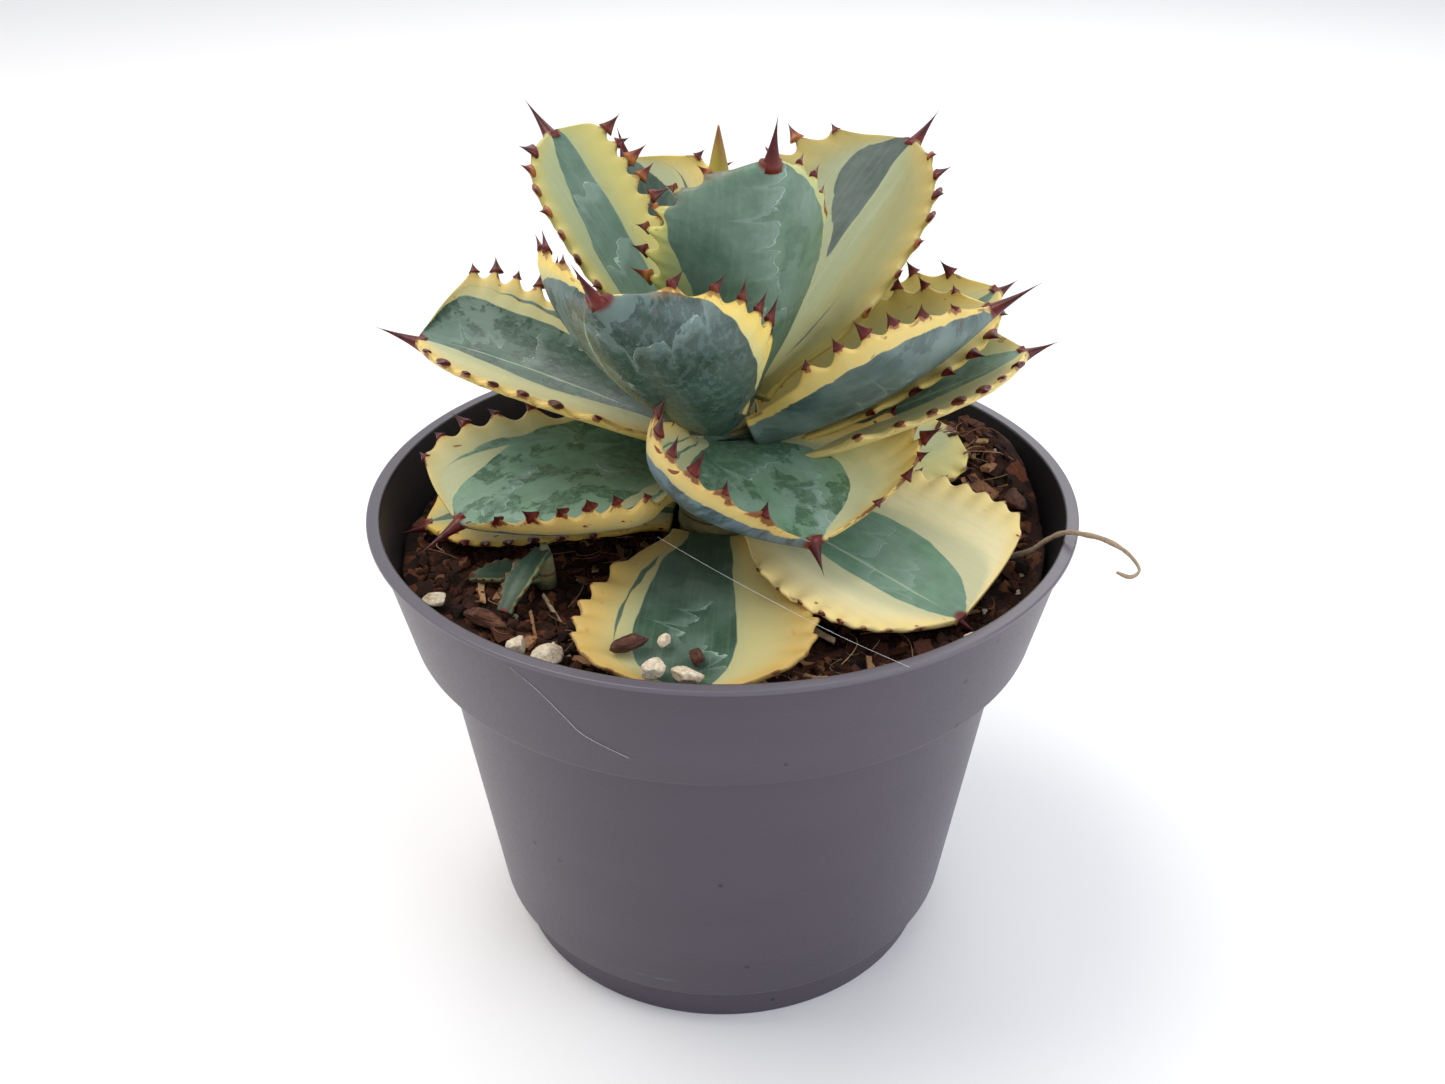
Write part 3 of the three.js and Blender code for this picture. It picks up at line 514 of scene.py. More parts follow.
# The short stem: green-tan and woody, ringed by the scars of leaves that have gone
STEM_FOOT = 60
STEM_TOP = 104.4
STEM_LINE = [(7.6, STEM_FOOT), (7.6, 85.4), (6.0, 87), (5.6, 90), (5.2, 97), (4.4, 100), (3.3, 102.5),
             (2.6, STEM_TOP)]
STEM_SIDES = 72
SCAR_SPACING = 3.2
SCAR_RELIEF = 0.12
stem_skin, tree, shader = new_material("agave stem, woody and scarred")
place = object_millimetres(tree)
height = add(tree, "SeparateXYZ", place).outputs["Z"]
grain = add(tree, "TexNoise", place, 0.5, 4.0, 0.6)
ripple = add(tree, "Math", grain, 1.4, height, operation="MULTIPLY_ADD")
scars = add(tree, "Math", ripple, SCAR_SPACING / 2, operation="PINGPONG")
scars = add(tree, "MapRange", scars, 0.35, 0.0)
tone = add(tree, "Mix", grain, linear("#5f6240"), linear("#a89f6c"), **RGBA)
tone = add(tree, "Mix", scars, tone, linear("#5a3a26"), **RGBA)
bump = add(tree, "Bump", named={"Height": grain, "Strength": 0.6, "Distance": 0.5 * MM})
drive(tree, shader, Base_Color=tone, Roughness=0.8, Normal=bump)
heights = np.linspace(STEM_FOOT, STEM_TOP, 60)
stem_radii = np.interp(heights, [z for r, z in STEM_LINE], [r for r, z in STEM_LINE])
stem_radii += SCAR_RELIEF * np.cos(heights * 2 * math.pi / SCAR_SPACING)
points, faces = turned(list(zip(stem_radii, heights)), STEM_SIDES)
finish(mesh_piece("stem_grown", points, faces, stem_skin), "stem", "stem")


# The leaves: thick, waxy and folded, in a spiral from the soil to the heart. Each grew as one piece
# with its fleshy scalloped margins, horny teeth and end spine. The sizes are those of the solids, with a
# few brought closer to the photograph. Angles are in degrees, az is 0 towards the viewer and 90 to the
# right, and a pair is for the right and the left half for someone who looks out along the leaf.
def lerp(low, high, t):
    return low + (high - low) * t


def smooth(low, high, x):
    """0 below low, 1 above high, with an easy rise between."""
    t = np.clip((x - low) / (high - low), 0, 1)
    return t * t * (3 - 2 * t)


ROOT_THICKNESS = 3.2
TIP_THICKNESS = 2.0
TOOTH_ROOT = 0.5
SPINE_ROOT = 1.4
MARGIN_THICKNESS = 0.9
NECK_WIDTH = 0.7
NECK_END = 0.24
ROOT_WIDTH = 0.6
TIP_HALF_WIDTH = 1.3
FIRST_TOOTH = 0.2
LAST_TOOTH = 0.96
TOOTH_CROWDING = 0.7
TOOTH_LENGTH = 3.4
LEAVES = [
    dict(name="leaf_low_front", az=-6, start=8.6, z=81, rise=2, tip_rise=-4, bend=4, length=44,
         half=(18.5, 17), fold=15, widest=0.66, full=3.6, swelling=1.3, teeth=7, tooth_size=0.15, spine=3),
    dict(name="leaf_low_left", az=-95, start=8.6, z=80.2, rise=6, tip_rise=-8, bend=16, length=43.5,
         half=(15.5, 13.5), fold=(15, 12), widest=0.6, full=2.8, teeth=7, tooth_size=0.7, spine=5),
    dict(name="leaf_low_right", az=114, start=8.6, z=82.5, rise=8, tip_rise=8, length=38, half=15,
         fold=(5, 20), widest=0.6, full=3.5, teeth=6, tooth_size=0.4, spine=3),
    dict(name="leaf_low_left_rear", az=-148, start=8.6, z=82, rise=6, tip_rise=0, length=38, half=15,
         fold=(10, 15), widest=0.55, full=2.6, teeth=6, tooth_size=0.7, spine=4),
    dict(name="leaf_low_front_right", az=49, start=8.6, z=85, rise=2, tip_rise=-16, roll=-6, length=41,
         half=(18, 24.5), fold=(15, 12), widest=(0.5, 0.74), full=(2.8, 4.5), swelling=1.4, teeth=8,
         tooth_size=0.25, spine=3),
    dict(name="leaf_low_rear", az=165, start=8.6, z=85, rise=8, tip_rise=-2, length=38, half=15, fold=20,
         widest=0.55, full=2.6, teeth=6, tooth_size=0.7, spine=4),
    dict(name="leaf_second_left", az=-84, start=7, z=89.5, rise=14, tip_rise=-20, bend=30, length=40,
         half=(19, 29), fold=(22, 6), curl=(0, 58), widest=(0.72, 0.38), full=(5, 2.7), swelling=1.8,
         teeth=6, tooth_size=0.8, spine=9, tilt=-2),
    dict(name="leaf_second_front", az=24, start=5.6, z=97, rise=2, tip_rise=-22, bend=4, roll=5, length=28,
         half=(28, 26), fold=(30, 10), curl=(70, 40), widest=0.5, full=2.6, teeth=6, spine=5, tilt=-30),
    dict(name="leaf_second_rear", az=174, start=6.5, z=89.5, rise=20, tip_rise=8, length=42, half=(16, 17),
         fold=(25, 30), widest=0.58, full=2.8, teeth=6, spine=6),
    dict(name="leaf_second_left_rear", az=-135, start=6.5, z=92.5, rise=22, tip_rise=12, length=42,
         half=16, fold=(30, 25), widest=0.58, full=2.8, teeth=6, spine=6),
    dict(name="leaf_second_right", az=96, start=6.5, z=91, rise=24, tip_rise=20, length=48, half=(18, 17),
         fold=(30, 40), widest=0.58, full=2.6, swelling=1.7, teeth=7, tooth_size=0.8, spine=6),
    dict(name="leaf_third_right_rear", az=108, start=6, z=93.5, rise=28, tip_rise=27, length=49,
         half=(15, 14), fold=(10, 45), widest=0.6, full=2.8, swelling=1.7, teeth=6, spine=4),
    dict(name="leaf_third_left", az=-98, start=6, z=95.5, rise=24, tip_rise=12, length=48, half=(19, 17),
         fold=(40, 28), widest=(0.78, 0.55), full=(6, 3), teeth=7, tooth_size=0.8, spine=8, tilt=8),
    dict(name="leaf_third_rear", az=166, start=5.6, z=95.5, rise=28, tip_rise=26, length=43, half=(15, 16),
         fold=(35, 40), widest=0.58, full=2.8, teeth=6, spine=7),
    dict(name="leaf_third_right", az=86, start=6, z=97.5, rise=20, tip_rise=43, length=43, half=(23, 17),
         fold=(75, 50), widest=0.55, full=2.2, swelling=1.3, teeth=6, tooth_size=0.7, spine=9, tilt=-10),
    dict(name="leaf_upper_rear", az=-153, start=5, z=100, rise=46, tip_rise=48, length=46, half=(14, 15),
         fold=40, widest=(0.7, 0.6), full=(5, 3.4), teeth=7, spine=6.5, tilt=10),
    dict(name="leaf_third_front", az=-29, start=5.5, z=101.5, rise=27, tip_rise=65, roll=10, length=43,
         half=(27, 21.5), fold=(42, 102), widest=(0.55, 0.52), full=(2.4, 2.6), teeth=6, spine=6, tilt=15,
         lean=1),
    dict(name="leaf_upper_left", az=-132, start=4, z=104, rise=50, tip_rise=42, length=50, half=(8.5, 14),
         fold=30, widest=(0.9, 0.6), full=(6.5, 3.5), swelling=1.9, teeth=8, spine=8),
    dict(name="leaf_upper_right", az=132, start=4, z=103, rise=46, tip_rise=36, length=53, half=19,
         fold=28, widest=(0.42, 0.6), full=(2.6, 4), swelling=3.2, teeth=7, spine=8),
    dict(name="leaf_upper_front", az=25, start=3, z=105, rise=66, tip_rise=80, length=43, half=(15, 16),
         fold=50, widest=(0.62, 0.55), full=2.5, swelling=3, teeth=7, spine=7),
]
CURL_START = 0.6


def heading(leaf, u):
    """The direction a leaf grows in at u, with its up and right; u is an array."""
    turn = np.radians(leaf["az"] + leaf.get("bend", 0) * u)
    slope = np.radians(lerp(leaf["rise"], leaf["tip_rise"], u))
    level = np.cos(slope)
    along = np.stack([level * np.sin(turn), -level * np.cos(turn), np.sin(slope)], -1)
    up = np.stack([-np.sin(slope) * np.sin(turn), np.sin(slope) * np.cos(turn), level], -1)
    right = np.cross(along, up)
    roll = math.radians(-leaf.get("roll", 0))
    return (along, up * math.cos(roll) + right * math.sin(roll),
            right * math.cos(roll) - up * math.sin(roll))


def spine_line(leaf, u):
    """Points of a leaf's centre line: its slope and heading change evenly from root to tip."""
    steps = 24
    start = math.radians(leaf["az"])
    x, y = leaf.get("at", (0, 0))
    root = np.array([x + leaf["start"] * math.sin(start), y - leaf["start"] * math.cos(start), leaf["z"]])
    parts = (np.arange(steps) + 0.5) / steps
    along = heading(leaf, u[..., None] * parts)[0]
    return root + along.sum(-2) * (leaf["length"] * u / steps)[..., None]


def tooth_phase(leaf, u):
    """Teeth passed so far along the margin: there is one at each half."""
    place = np.clip((u - FIRST_TOOTH) / (LAST_TOOTH - FIRST_TOOTH), 0, 1)
    return leaf["teeth"] * place ** (1 / TOOTH_CROWDING)


def tooth_place(leaf, phase):
    """Where along the leaf a phase of its teeth lies."""
    return FIRST_TOOTH + (LAST_TOOTH - FIRST_TOOTH) * (phase / leaf["teeth"]) ** TOOTH_CROWDING


def on_side(value, v):
    """A size that may be a pair for the right and the left half."""
    right, left = value if isinstance(value, tuple) else (value, value)
    return np.where(v > 0, right, left)


def plain_width(leaf, u, v):
    """Half width without the swellings under the teeth."""
    width = on_side(leaf["half"], v)
    widest = on_side(leaf["widest"], v)
    neck = lerp(NECK_WIDTH, 1, smooth(0, NECK_END, u))
    rising = lerp(ROOT_WIDTH, 1, smooth(0, widest, u))
    past = np.clip((u - widest) / (1 - widest), 0, 1)
    return width * neck * rising * np.maximum(0, 1 - past ** on_side(leaf["full"], v)) ** 0.85


def swelling(leaf, u, v):
    """How far the margin swells out under each tooth, which only the last part of the half feels."""
    rise = np.sin(math.pi * tooth_phase(leaf, u)) ** 2
    order = np.floor(tooth_phase(leaf, u)) + np.where(v > 0, 20, 0)
    vary = 0.4 + 0.9 * np.abs(np.sin(order * 12.9 + leaf["az"]))
    bump = leaf.get("swelling", 2.4) * vary * lerp(rise, rise ** 3, 0.6) * (1 - 0.6 * u)
    return bump * smooth(0.1, 0.3, u) * smooth(0.62, 1, np.abs(v)) * smooth(1, 0.9, u)


def folded(leaf, v):
    """For one unit of half width at v: the blade's angle there, and how far out and up it has come.
    It folds evenly from the keel, and the last part may curl up more."""
    fold = np.radians(on_side(leaf["fold"], v)) + 1e-4
    curl = np.radians(on_side(leaf.get("curl", 0), v))
    far = np.abs(v)
    inner = np.minimum(far, CURL_START)
    steep = fold + curl / (1 - CURL_START)
    bent = fold * inner
    angle = bent + steep * (far - inner)
    out = np.sin(bent) / fold + (np.sin(angle) - np.sin(bent)) / steep
    up = (1 - np.cos(bent)) / fold + (np.cos(bent) - np.cos(angle)) / steep
    side = np.where(v < 0, -1.0, 1.0)
    return angle * side, out * side, up


def blade(leaf, u, v):
    """The upper face at u along and v across: its points, normals and outward direction."""
    slide = u + leaf.get("skew", 0.025) * v * np.sin(math.pi * u)
    along, up, right = heading(leaf, slide)
    reach = np.maximum(TIP_HALF_WIDTH, plain_width(leaf, u, v))
    swell = swelling(leaf, u, v)
    angle, across, lift = folded(leaf, v)
    wave = leaf.get("wave", 0.7) * np.abs(v) ** 9 * smooth(0.1, 0.3, u) * (1 - 0.6 * u)
    height = reach * lift - wave * np.cos(2 * math.pi * tooth_phase(leaf, u))
    turn, tilt = np.cos(angle)[..., None], np.sin(angle)[..., None]
    outward = (right * turn + up * tilt) * np.where(v < 0, -1.0, 1.0)[..., None]
    point = spine_line(leaf, slide) + right * (reach * across)[..., None] + up * height[..., None]
    return point + outward * swell[..., None], up * turn - right * tilt, outward, along, reach + swell


def thickness(leaf, u, v):
    middle = lerp(ROOT_THICKNESS, TIP_THICKNESS, u) * leaf.get("thickness", 1)
    return lerp(middle, MARGIN_THICKNESS * min(1, leaf.get("thickness", 1) * 1.2), np.abs(v) ** 1.6)


def seeded(seed):
    """The same even draws as the solids take, so that each tooth leans the same way."""
    state = seed
    while True:
        state = state * 16807 % 2147483647
        yield state / 2147483647


# What each leaf shows. core is the green band: its left and right edges as shares of the half
# width (-1 is the left margin for someone who looks out along the leaf, 1 the right), each at even
# steps from root to tip. zone is the paler zone beside it. streaks are thin lines (across at the root
# and tip, from and to along the leaf, half width in millimetres, 1 green or -1 pale), and imprints the
# prints of neighbours' margins (across, along, turn in degrees, spacing, reach). rub, bloom and age are
# the shares of rubbed wax, bloom and wear.
PLAIN_PAINT = dict(
    core=(-0.45, 0.45), zone=(-0.6, 0.6), begins=-1, back_core=None, green="#4f7059", back="#758d82",
    cream="#cdc992", yellow="#e6ca70", streaks=(), imprints=(), rub=0.3, bloom=0.35, age=0.4)
PAINT = {
    # Painted shade: this leaf's green, cream and yellow are painted darker, as shade under the leaves
    # above
    "leaf_low_front": dict(
        core=((-0.3, -0.3, -0.3, -0.32, -0.3), (0.6, 0.6, 0.55, 0.55, 0.5)), zone=(-0.36, 0.64),
        green="#43604c", cream="#c4ba80", yellow="#cdaa5c", streaks=((0.7, 0.69, 0.15, 0.8, 0.45, 1),),
        imprints=((0.1, 0.6, 20, 4.5, 14), (-0.15, 0.8, -30, 4, 10)), rub=0.25, bloom=0.3, age=0.5),
    "leaf_low_left": dict(
        core=(-0.05, (0.25, 0.3, 0.4, 0.3, 0.1)), zone=(-0.4, 0.55), cream="#d2c272", yellow="#dfbc58",
        age=1),
    "leaf_low_right": dict(
        core=(0.3, -0.3), zone=(-0.4, 0.4), cream="#cfcb82", yellow="#e2cf78", age=0.3),
    "leaf_low_left_rear": dict(core=(-0.4, (0.4, 0.3)), age=0.8),
    # Painted light: this leaf's green, cream and yellow are painted lighter, as light falling full on it
    "leaf_low_front_right": dict(
        core=((-0.55, -0.52, -0.45, -0.37, -0.2), (0.2, 0.25, 0.28, 0.33, 0.3)), zone=(-0.57, 0.52),
        green="#6f977a", cream="#f0e4b2", yellow="#f6dc92", streaks=((0.09, 0.09, 0.2, 0.98, 0.3, -1),),
        imprints=((-0.1, 0.55, 75, 6, 16), (0, 0.76, 60, 5, 12)), rub=0.12, age=0.5),
    "leaf_low_rear": dict(core=(-0.5, 0.3), age=0.7),
    "leaf_second_left": dict(
        core=((-0.35, -0.4, -0.6, -0.85, -1), (1.1, 1.05, 0.8, 0.45, 0.35)), zone=(-0.7, 1),
        green="#759b80", back="#6f8795", back_core=((-0.4, -0.5, -0.7, -0.8, -0.86), 0.5), cream="#c6c294",
        yellow="#e8c772", streaks=((0.66, 0.7, 0.35, 0.9, 1.2, 1), (-0.56, -0.62, 0, 0.45, 0.8, 1),
        (-0.7, -0.78, 0, 0.38, 0.4, 1)), imprints=((0.1, 0.35, 85, 9, 18), (0, 0.72, -40, 4.5, 16),
        (-0.2, 0.85, 60, 4.5, 14)), rub=0.9, bloom=0.4, age=0.9),
    "leaf_second_front": dict(
        core=((-0.5, -0.5, -0.5, -0.45, -0.3), (0.45, 0.5, 0.6, 0.8, 1)), zone=(-0.66, 0.9),
        green="#73987a", back="#74889a", back_core=(-0.8, 0.9), cream="#d8d09a", yellow="#edd07c",
        streaks=((0.62, 0.74, 0, 0.5, 0.5, 1), (0.76, 0.86, 0, 0.4, 0.35, 1)),
        imprints=((0.1, 0.4, 60, 5, 16), (-0.2, 0.7, 20, 4.5, 18)), rub=0.8, bloom=0.5, age=0.8),
    "leaf_second_rear": dict(core=((-0.5, -0.4), (0.4, 0.35)), imprints=((0, 0.6, 15, 5, 16),)),
    "leaf_second_left_rear": dict(core=(-0.4, (0.5, 0.45)), imprints=((0.1, 0.55, 70, 5, 14),)),
    "leaf_second_right": dict(
        core=((-0.3, -0.28, -0.25, -0.25, -0.2), (0.35, 0.38, 0.35, 0.3, 0.3)), zone=(-0.7, 0.6),
        green="#7da08f", back="#8298a0", cream="#dcd6a4", yellow="#ecd488",
        streaks=((-0.34, -0.3, 0.1, 0.95, 0.4, -1), (-0.6, -0.6, 0.1, 0.9, 0.6, 1),
        (0.15, 0.2, 0.1, 0.9, 0.4, -1)), imprints=((0.1, 0.6, 15, 5, 18),), rub=0.5, bloom=0.5, age=0.6),
    "leaf_third_right_rear": dict(
        core=(0, (0.28, 0.3)), zone=(-0.2, 0.5), green="#66856f", cream="#d8d296",
        streaks=((-0.35, -0.3, 0.2, 0.9, 0.4, 1),)),
    "leaf_third_left": dict(
        core=((0, -0.1, -0.27, -0.12, 0), (0.6, 0.66, 0.74, 0.7, 0.8)), zone=(-0.3, 0.95), green="#4e6d5f",
        back="#70899a", cream="#cfcb98", yellow="#f0d078", streaks=((0.84, 0.88, 0.35, 0.85, 0.6, 1),
        (0, 0.05, 0.2, 0.95, 0.3, -1)), imprints=((0.3, 0.6, 90, 16, 14), (0.2, 0.8, -30, 4.5, 12),
        (0.55, 0.42, 5, 5, 10)), rub=0.9, bloom=0.4, age=0.7),
    "leaf_third_rear": dict(core=((-0.5, -0.45), 0.45), imprints=((0, 0.6, 30, 5, 16),)),
    "leaf_third_right": dict(
        core=((-0.3, -0.28, -0.25, -0.25, -0.2), (0.1, 0.15, 0.2, 0.3, 0.4)), zone=(-0.5, 0.6),
        back_core=(-0.9, 0.88), green="#5f8073", back="#4f6566", cream="#d4cd94", yellow="#e6ca76",
        streaks=((0.4, 0.45, 0.1, 0.9, 0.6, 1), (0.6, 0.6, 0.1, 0.8, 0.4, 1),
        (-0.4, -0.4, 0.1, 0.9, 0.5, 1)), imprints=((0.4, 0.5, 10, 5, 18),), rub=0.4, bloom=0.55, age=0.7),
    "leaf_upper_rear": dict(
        core=(-0.9, (0.45, 0.5, 0.55, 0.5, 0.15)), zone=(-0.95, 0.6), green="#3f5a4a", cream="#c6c494",
        streaks=((0.6, 0.6, 0.3, 0.95, 0.5, 1),), imprints=((0, 0.6, 40, 5, 16),), rub=0.5, bloom=0.3),
    "leaf_third_front": dict(
        core=((-0.7, -0.74, -0.8, -0.88, -1.1), 0.8), zone=(-0.84, 0.86), green="#57756a", back="#576e6b",
        cream="#d6d498", yellow="#edd06c", streaks=((0.2, 0.2, 0.25, 0.98, 0.35, -1),
        (0.3, 0.3, 0.1, 0.5, 0.25, -1)), imprints=((-0.25, 0.82, 88, 5, 30), (0.1, 0.62, 40, 4, 14)),
        rub=1, bloom=0.3, age=0.5),
    # Painted shade: this leaf's green, cream and yellow are painted darker than the other margins, as the
    # shade it lies in
    "leaf_upper_left": dict(
        core=((-0.75, -0.7, -0.55, -0.38, -0.2), 0.24), zone=(-0.78, 0.3), green="#50745f",
        cream="#a6aa74", yellow="#c9bd6c", imprints=((-0.2, 0.3, 70, 8, 14), (-0.1, 0.52, 60, 8, 14),
        (-0.1, 0.75, 65, 8, 12)), rub=0.1, age=0.25),
    # Painted shade: this leaf's green, cream and yellow are painted much darker, as the shade it lies in
    "leaf_upper_right": dict(
        core=((0, 0, -0.02, -0.43, -0.6), (0.08, 0.08, 0.1, 0.05, 0)), zone=(-0.62, 0.3), begins=0.5,
        green="#324842", cream="#989666", yellow="#b8a55c", streaks=((0.45, 0.45, 0.12, 0.42, 0.5, 1),),
        rub=0.1, bloom=0.15, age=0.3),
    "leaf_upper_front": dict(
        core=((-1.1, -1.1, -0.95, -0.85, -0.8), (0.5, 0.5, 0.62, 1, 1.3)), zone=(-1.1, 0.9),
        green="#668a72", back="#6c8c76", cream="#cbd68c", yellow="#dcd97c",
        imprints=((-0.05, 0.75, 5, 5, 24), (-0.25, 0.4, 80, 4, 14)), rub=0.35, bloom=0.5, age=0.1),
}
TONES = ("green", "back", "cream", "yellow")


def along_leaf(values, u):
    """A value given at even steps from root to tip, or the same all along, with its bends rounded."""
    values = np.atleast_1d(values)
    steps = np.linspace(0, 1, len(values))
    return sum(np.interp(u + shift, steps, values) for shift in (-0.07, 0, 0.07)) / 3


def paint_leaf(mesh, leaf, u, v, face, reach, seed):
    """Store the coordinates that the flesh material reads: all lengths in millimetres."""
    paint = {**PLAIN_PAINT, **PAINT.get(leaf["name"], leaf.get("paint", {}))}
    x = v * reach
    y = u * leaf["length"]
    plain = np.maximum(plain_width(leaf, u, np.ones_like(v)), 1.5)
    plain_left = np.maximum(plain_width(leaf, u, -np.ones_like(v)), 1.5)

    def across(share):
        """The place in millimetres of a share of the half width, on the side that it is on."""
        return np.where(share > 0, share * plain, share * plain_left)

    def edges(core):
        low, high = (along_leaf(values, u) for values in core)
        if paint["begins"] > 0:
            shape = np.sqrt(np.clip((u - paint["begins"]) / 0.3, 0, 1))
            middle = (low + high) / 2
            low, high = lerp(middle, low, shape) + (shape <= 0) * 0.3, lerp(middle, high, shape)
        return x - across(low), across(high) - x

    upper = (face + 1) / 2
    core_low, core_high = edges(paint["core"])
    back_low, back_high = edges(paint["back_core"] or paint["core"])
    zone = paint["zone"]
    phase = tooth_phase(leaf, u)
    near = tooth_place(leaf, np.clip(np.floor(phase) + 0.5, 0.5, leaf["teeth"] - 0.5))
    edge = reach * (1 - np.abs(v))
    tooth = np.hypot((u - near) * leaf["length"], edge) / leaf.get("tooth_size", 1) ** 0.5
    tip = np.hypot(x, leaf["length"] * (1 - u)) / leaf.get("thickness", 1)
    store = {
        "grain": np.stack([x, y, seed * 37 + face * 5], -1),
        "band": np.stack([lerp(back_low, core_low, upper), lerp(back_high, core_high, upper), edge], -1),
        "zone": np.stack([x - across(zone[0] + 0 * u), across(zone[1] + 0 * u) - x, tooth], -1),
        "state": np.stack([face, 0 * u + paint["rub"], 0 * u + paint["bloom"]], -1),
        "wear": np.stack([0 * u + paint["age"], tip, u], -1),
    }
    blank = np.stack([0 * u + 99, 0 * u, 0 * u], -1)
    for k, letter in enumerate("abc"):
        streak = blank
        if k < len(paint["streaks"]):
            root, end, first, final, half, kind = paint["streaks"][k]
            width = half * smooth(first, first + 0.15, u) * (1 - smooth(final - 0.25, final, u))
            streak = np.stack([x - across(lerp(root, end, u)), width, 0 * u + kind], -1)
        store["streak_" + letter] = streak
        imprint = blank
        if k < len(paint["imprints"]):
            share, at, turn, spacing, size = paint["imprints"][k]
            dx = x - share * on_side(leaf["half"], share)
            dy = y - at * leaf["length"]
            c, s = math.cos(math.radians(turn)), math.sin(math.radians(turn))
            run = dx * s + dy * c
            side = dx * c - dy * s + 0.012 * run * run
            imprint = np.stack([side, run / spacing, smooth(size / 2, size / 2 - 3, np.abs(run))], -1)
        store["imprint_" + letter] = imprint
    for name, values in store.items():
        layer = mesh.attributes.new(name, "FLOAT_VECTOR", "POINT")
        layer.data.foreach_set("vector", np.ascontiguousarray(values, dtype=np.float32).ravel())
    for name in TONES:
        layer = mesh.attributes.new(name, "FLOAT_COLOR", "POINT")
        layer.data.foreach_set("color", np.tile(linear(paint[name]), len(u)))


LEAF_ROWS = 110
LEAF_COLUMNS = 40


def leaf_mesh(leaf, seed, material, rows_wanted=LEAF_ROWS, columns=LEAF_COLUMNS):
    """A leaf's flesh as one closed skin, and the feet, aims and sizes of its teeth and spine."""
    peaks = tooth_place(leaf, np.arange(leaf["teeth"]) + 0.5)
    rows = np.union1d(np.linspace(0, 1, rows_wanted), peaks)
    top_v = np.sin(np.linspace(-math.pi / 2, math.pi / 2, columns))
    ring_v = np.concatenate([top_v, top_v[-2:0:-1]])
    ring_face = np.concatenate([[0], np.ones(columns - 2), [0], -np.ones(columns - 2)])
    u, v = np.meshgrid(rows, ring_v, indexing="ij")
    face = np.broadcast_to(ring_face, u.shape)
    point, normal, *_, reach = blade(leaf, u, v)
    deep = thickness(leaf, u, v)
    inner = 1 - np.minimum(0.35, 0.7 / reach)
    curve = np.clip((np.abs(v) - inner) / (1 - inner), 0, 1)
    half = deep / 2 * np.sqrt(np.maximum(0, 1 - curve ** 2))
    point = point - normal * (deep / 2)[..., None] + normal * (half * face)[..., None]
    count = ring_v.size
    points = np.concatenate([point.reshape(-1, 3), point[0].mean(0)[None], point[-1].mean(0)[None]])
    faces = []
    for i in range(len(rows) - 1):
        for k in range(count):
            n = (k + 1) % count
            faces.append((i * count + k, i * count + n, (i + 1) * count + n, (i + 1) * count + k))
    root, tip = len(points) - 2, len(points) - 1
    ends = (len(rows) - 1) * count
    for k in range(count):
        n = (k + 1) % count
        faces.append((root, n, k))
        faces.append((tip, ends + k, ends + n))
    piece = mesh_piece(leaf["name"], points, faces, material)
    padded = [np.concatenate([grid.ravel(), [grid[0].mean(), grid[-1].mean()]])
              for grid in (u, v, face, reach)]
    paint_leaf(piece.data, leaf, *padded, seed)
    return piece, thorn_feet(leaf)


def thorn_feet(leaf):
    """Where each tooth and the end spine stand, which way they point and run, and their sizes."""
    draw = seeded(math.floor(leaf["az"] + 400 + 0.5) * 7 + math.floor(leaf["z"] + 0.5))
    feet = []
    for k in range(leaf["teeth"]):
        place = np.array(tooth_place(leaf, k + 0.5))
        for side in (-1.0, 1.0):
            point, normal, outward, along, reach = blade(leaf, place, np.array(side))
            size = leaf.get("tooth_size", 1)
            grown = 0.45 + next(draw)
            length = TOOTH_LENGTH * size * grown * (1 - 0.25 * place)
            lean = outward + along * 0.8 * (next(draw) - 0.35)
            lean = lean + normal * 0.5 * (next(draw) - 0.4)
            lean /= np.linalg.norm(lean)
            foot = point - normal * MARGIN_THICKNESS / 2 - lean * TOOTH_ROOT
            wide = (size * grown) ** 0.5
            feet.append((foot, lean, along, (1.3 * wide, 0.62 * wide, length + TOOTH_ROOT)))
    point, normal, outward, along, _ = blade(leaf, np.array(1.0), np.array(0.0))
    tilt = math.radians(leaf.get("tilt", 0))
    aim = along * math.cos(tilt) + normal * math.sin(tilt) + outward * leaf.get("lean", 0)
    aim /= np.linalg.norm(aim)
    deep = TIP_THICKNESS * leaf.get("thickness", 1)
    foot = point - normal * deep / 2 - aim * SPINE_ROOT
    wide = 1.75 * min(1, leaf["spine"] / 4)
    feet.append((foot, aim, np.cross(normal, aim), (wide, wide * 0.8, leaf["spine"] + SPINE_ROOT)))
    return feet


# Agave flesh: a firm waxy skin with blue-grey bloom. It gives the eye sharp-edged green bands, cream
# margins that deepen to yellow, pale imprints of the neighbours' teeth, and wet-looking rubbed wax.
flesh, tree, shader = new_material("agave leaf flesh, waxy, variegated")
SOFT = dict(interpolation_type="SMOOTHSTEP")
ATTRIBUTES = ("grain", "band", "zone", "state", "wear", "streak_a", "streak_b", "streak_c", "imprint_a",
              "imprint_b", "imprint_c")
read = {name: add(tree, "Attribute", attribute_name=name) for name in (*ATTRIBUTES, *TONES)}
part = {name: add(tree, "SeparateXYZ", read[name].outputs["Vector"]) for name in ATTRIBUTES}
edge = part["band"].outputs["Z"]
tooth = part["zone"].outputs["Z"]
face, rub, bloom = part["state"].outputs[:3]
age, tip = part["wear"].outputs[:2]


def leaf_noise(x, y, detail=2.0, roughness=0.5):
    """Noise on the leaf's own coordinates, with x features a millimetre across it and y along it."""
    place = add(tree, "VectorMath", read["grain"].outputs["Vector"], (x, y, 1), **TIMES)
    return add(tree, "TexNoise", place, 1.0, detail, roughness)


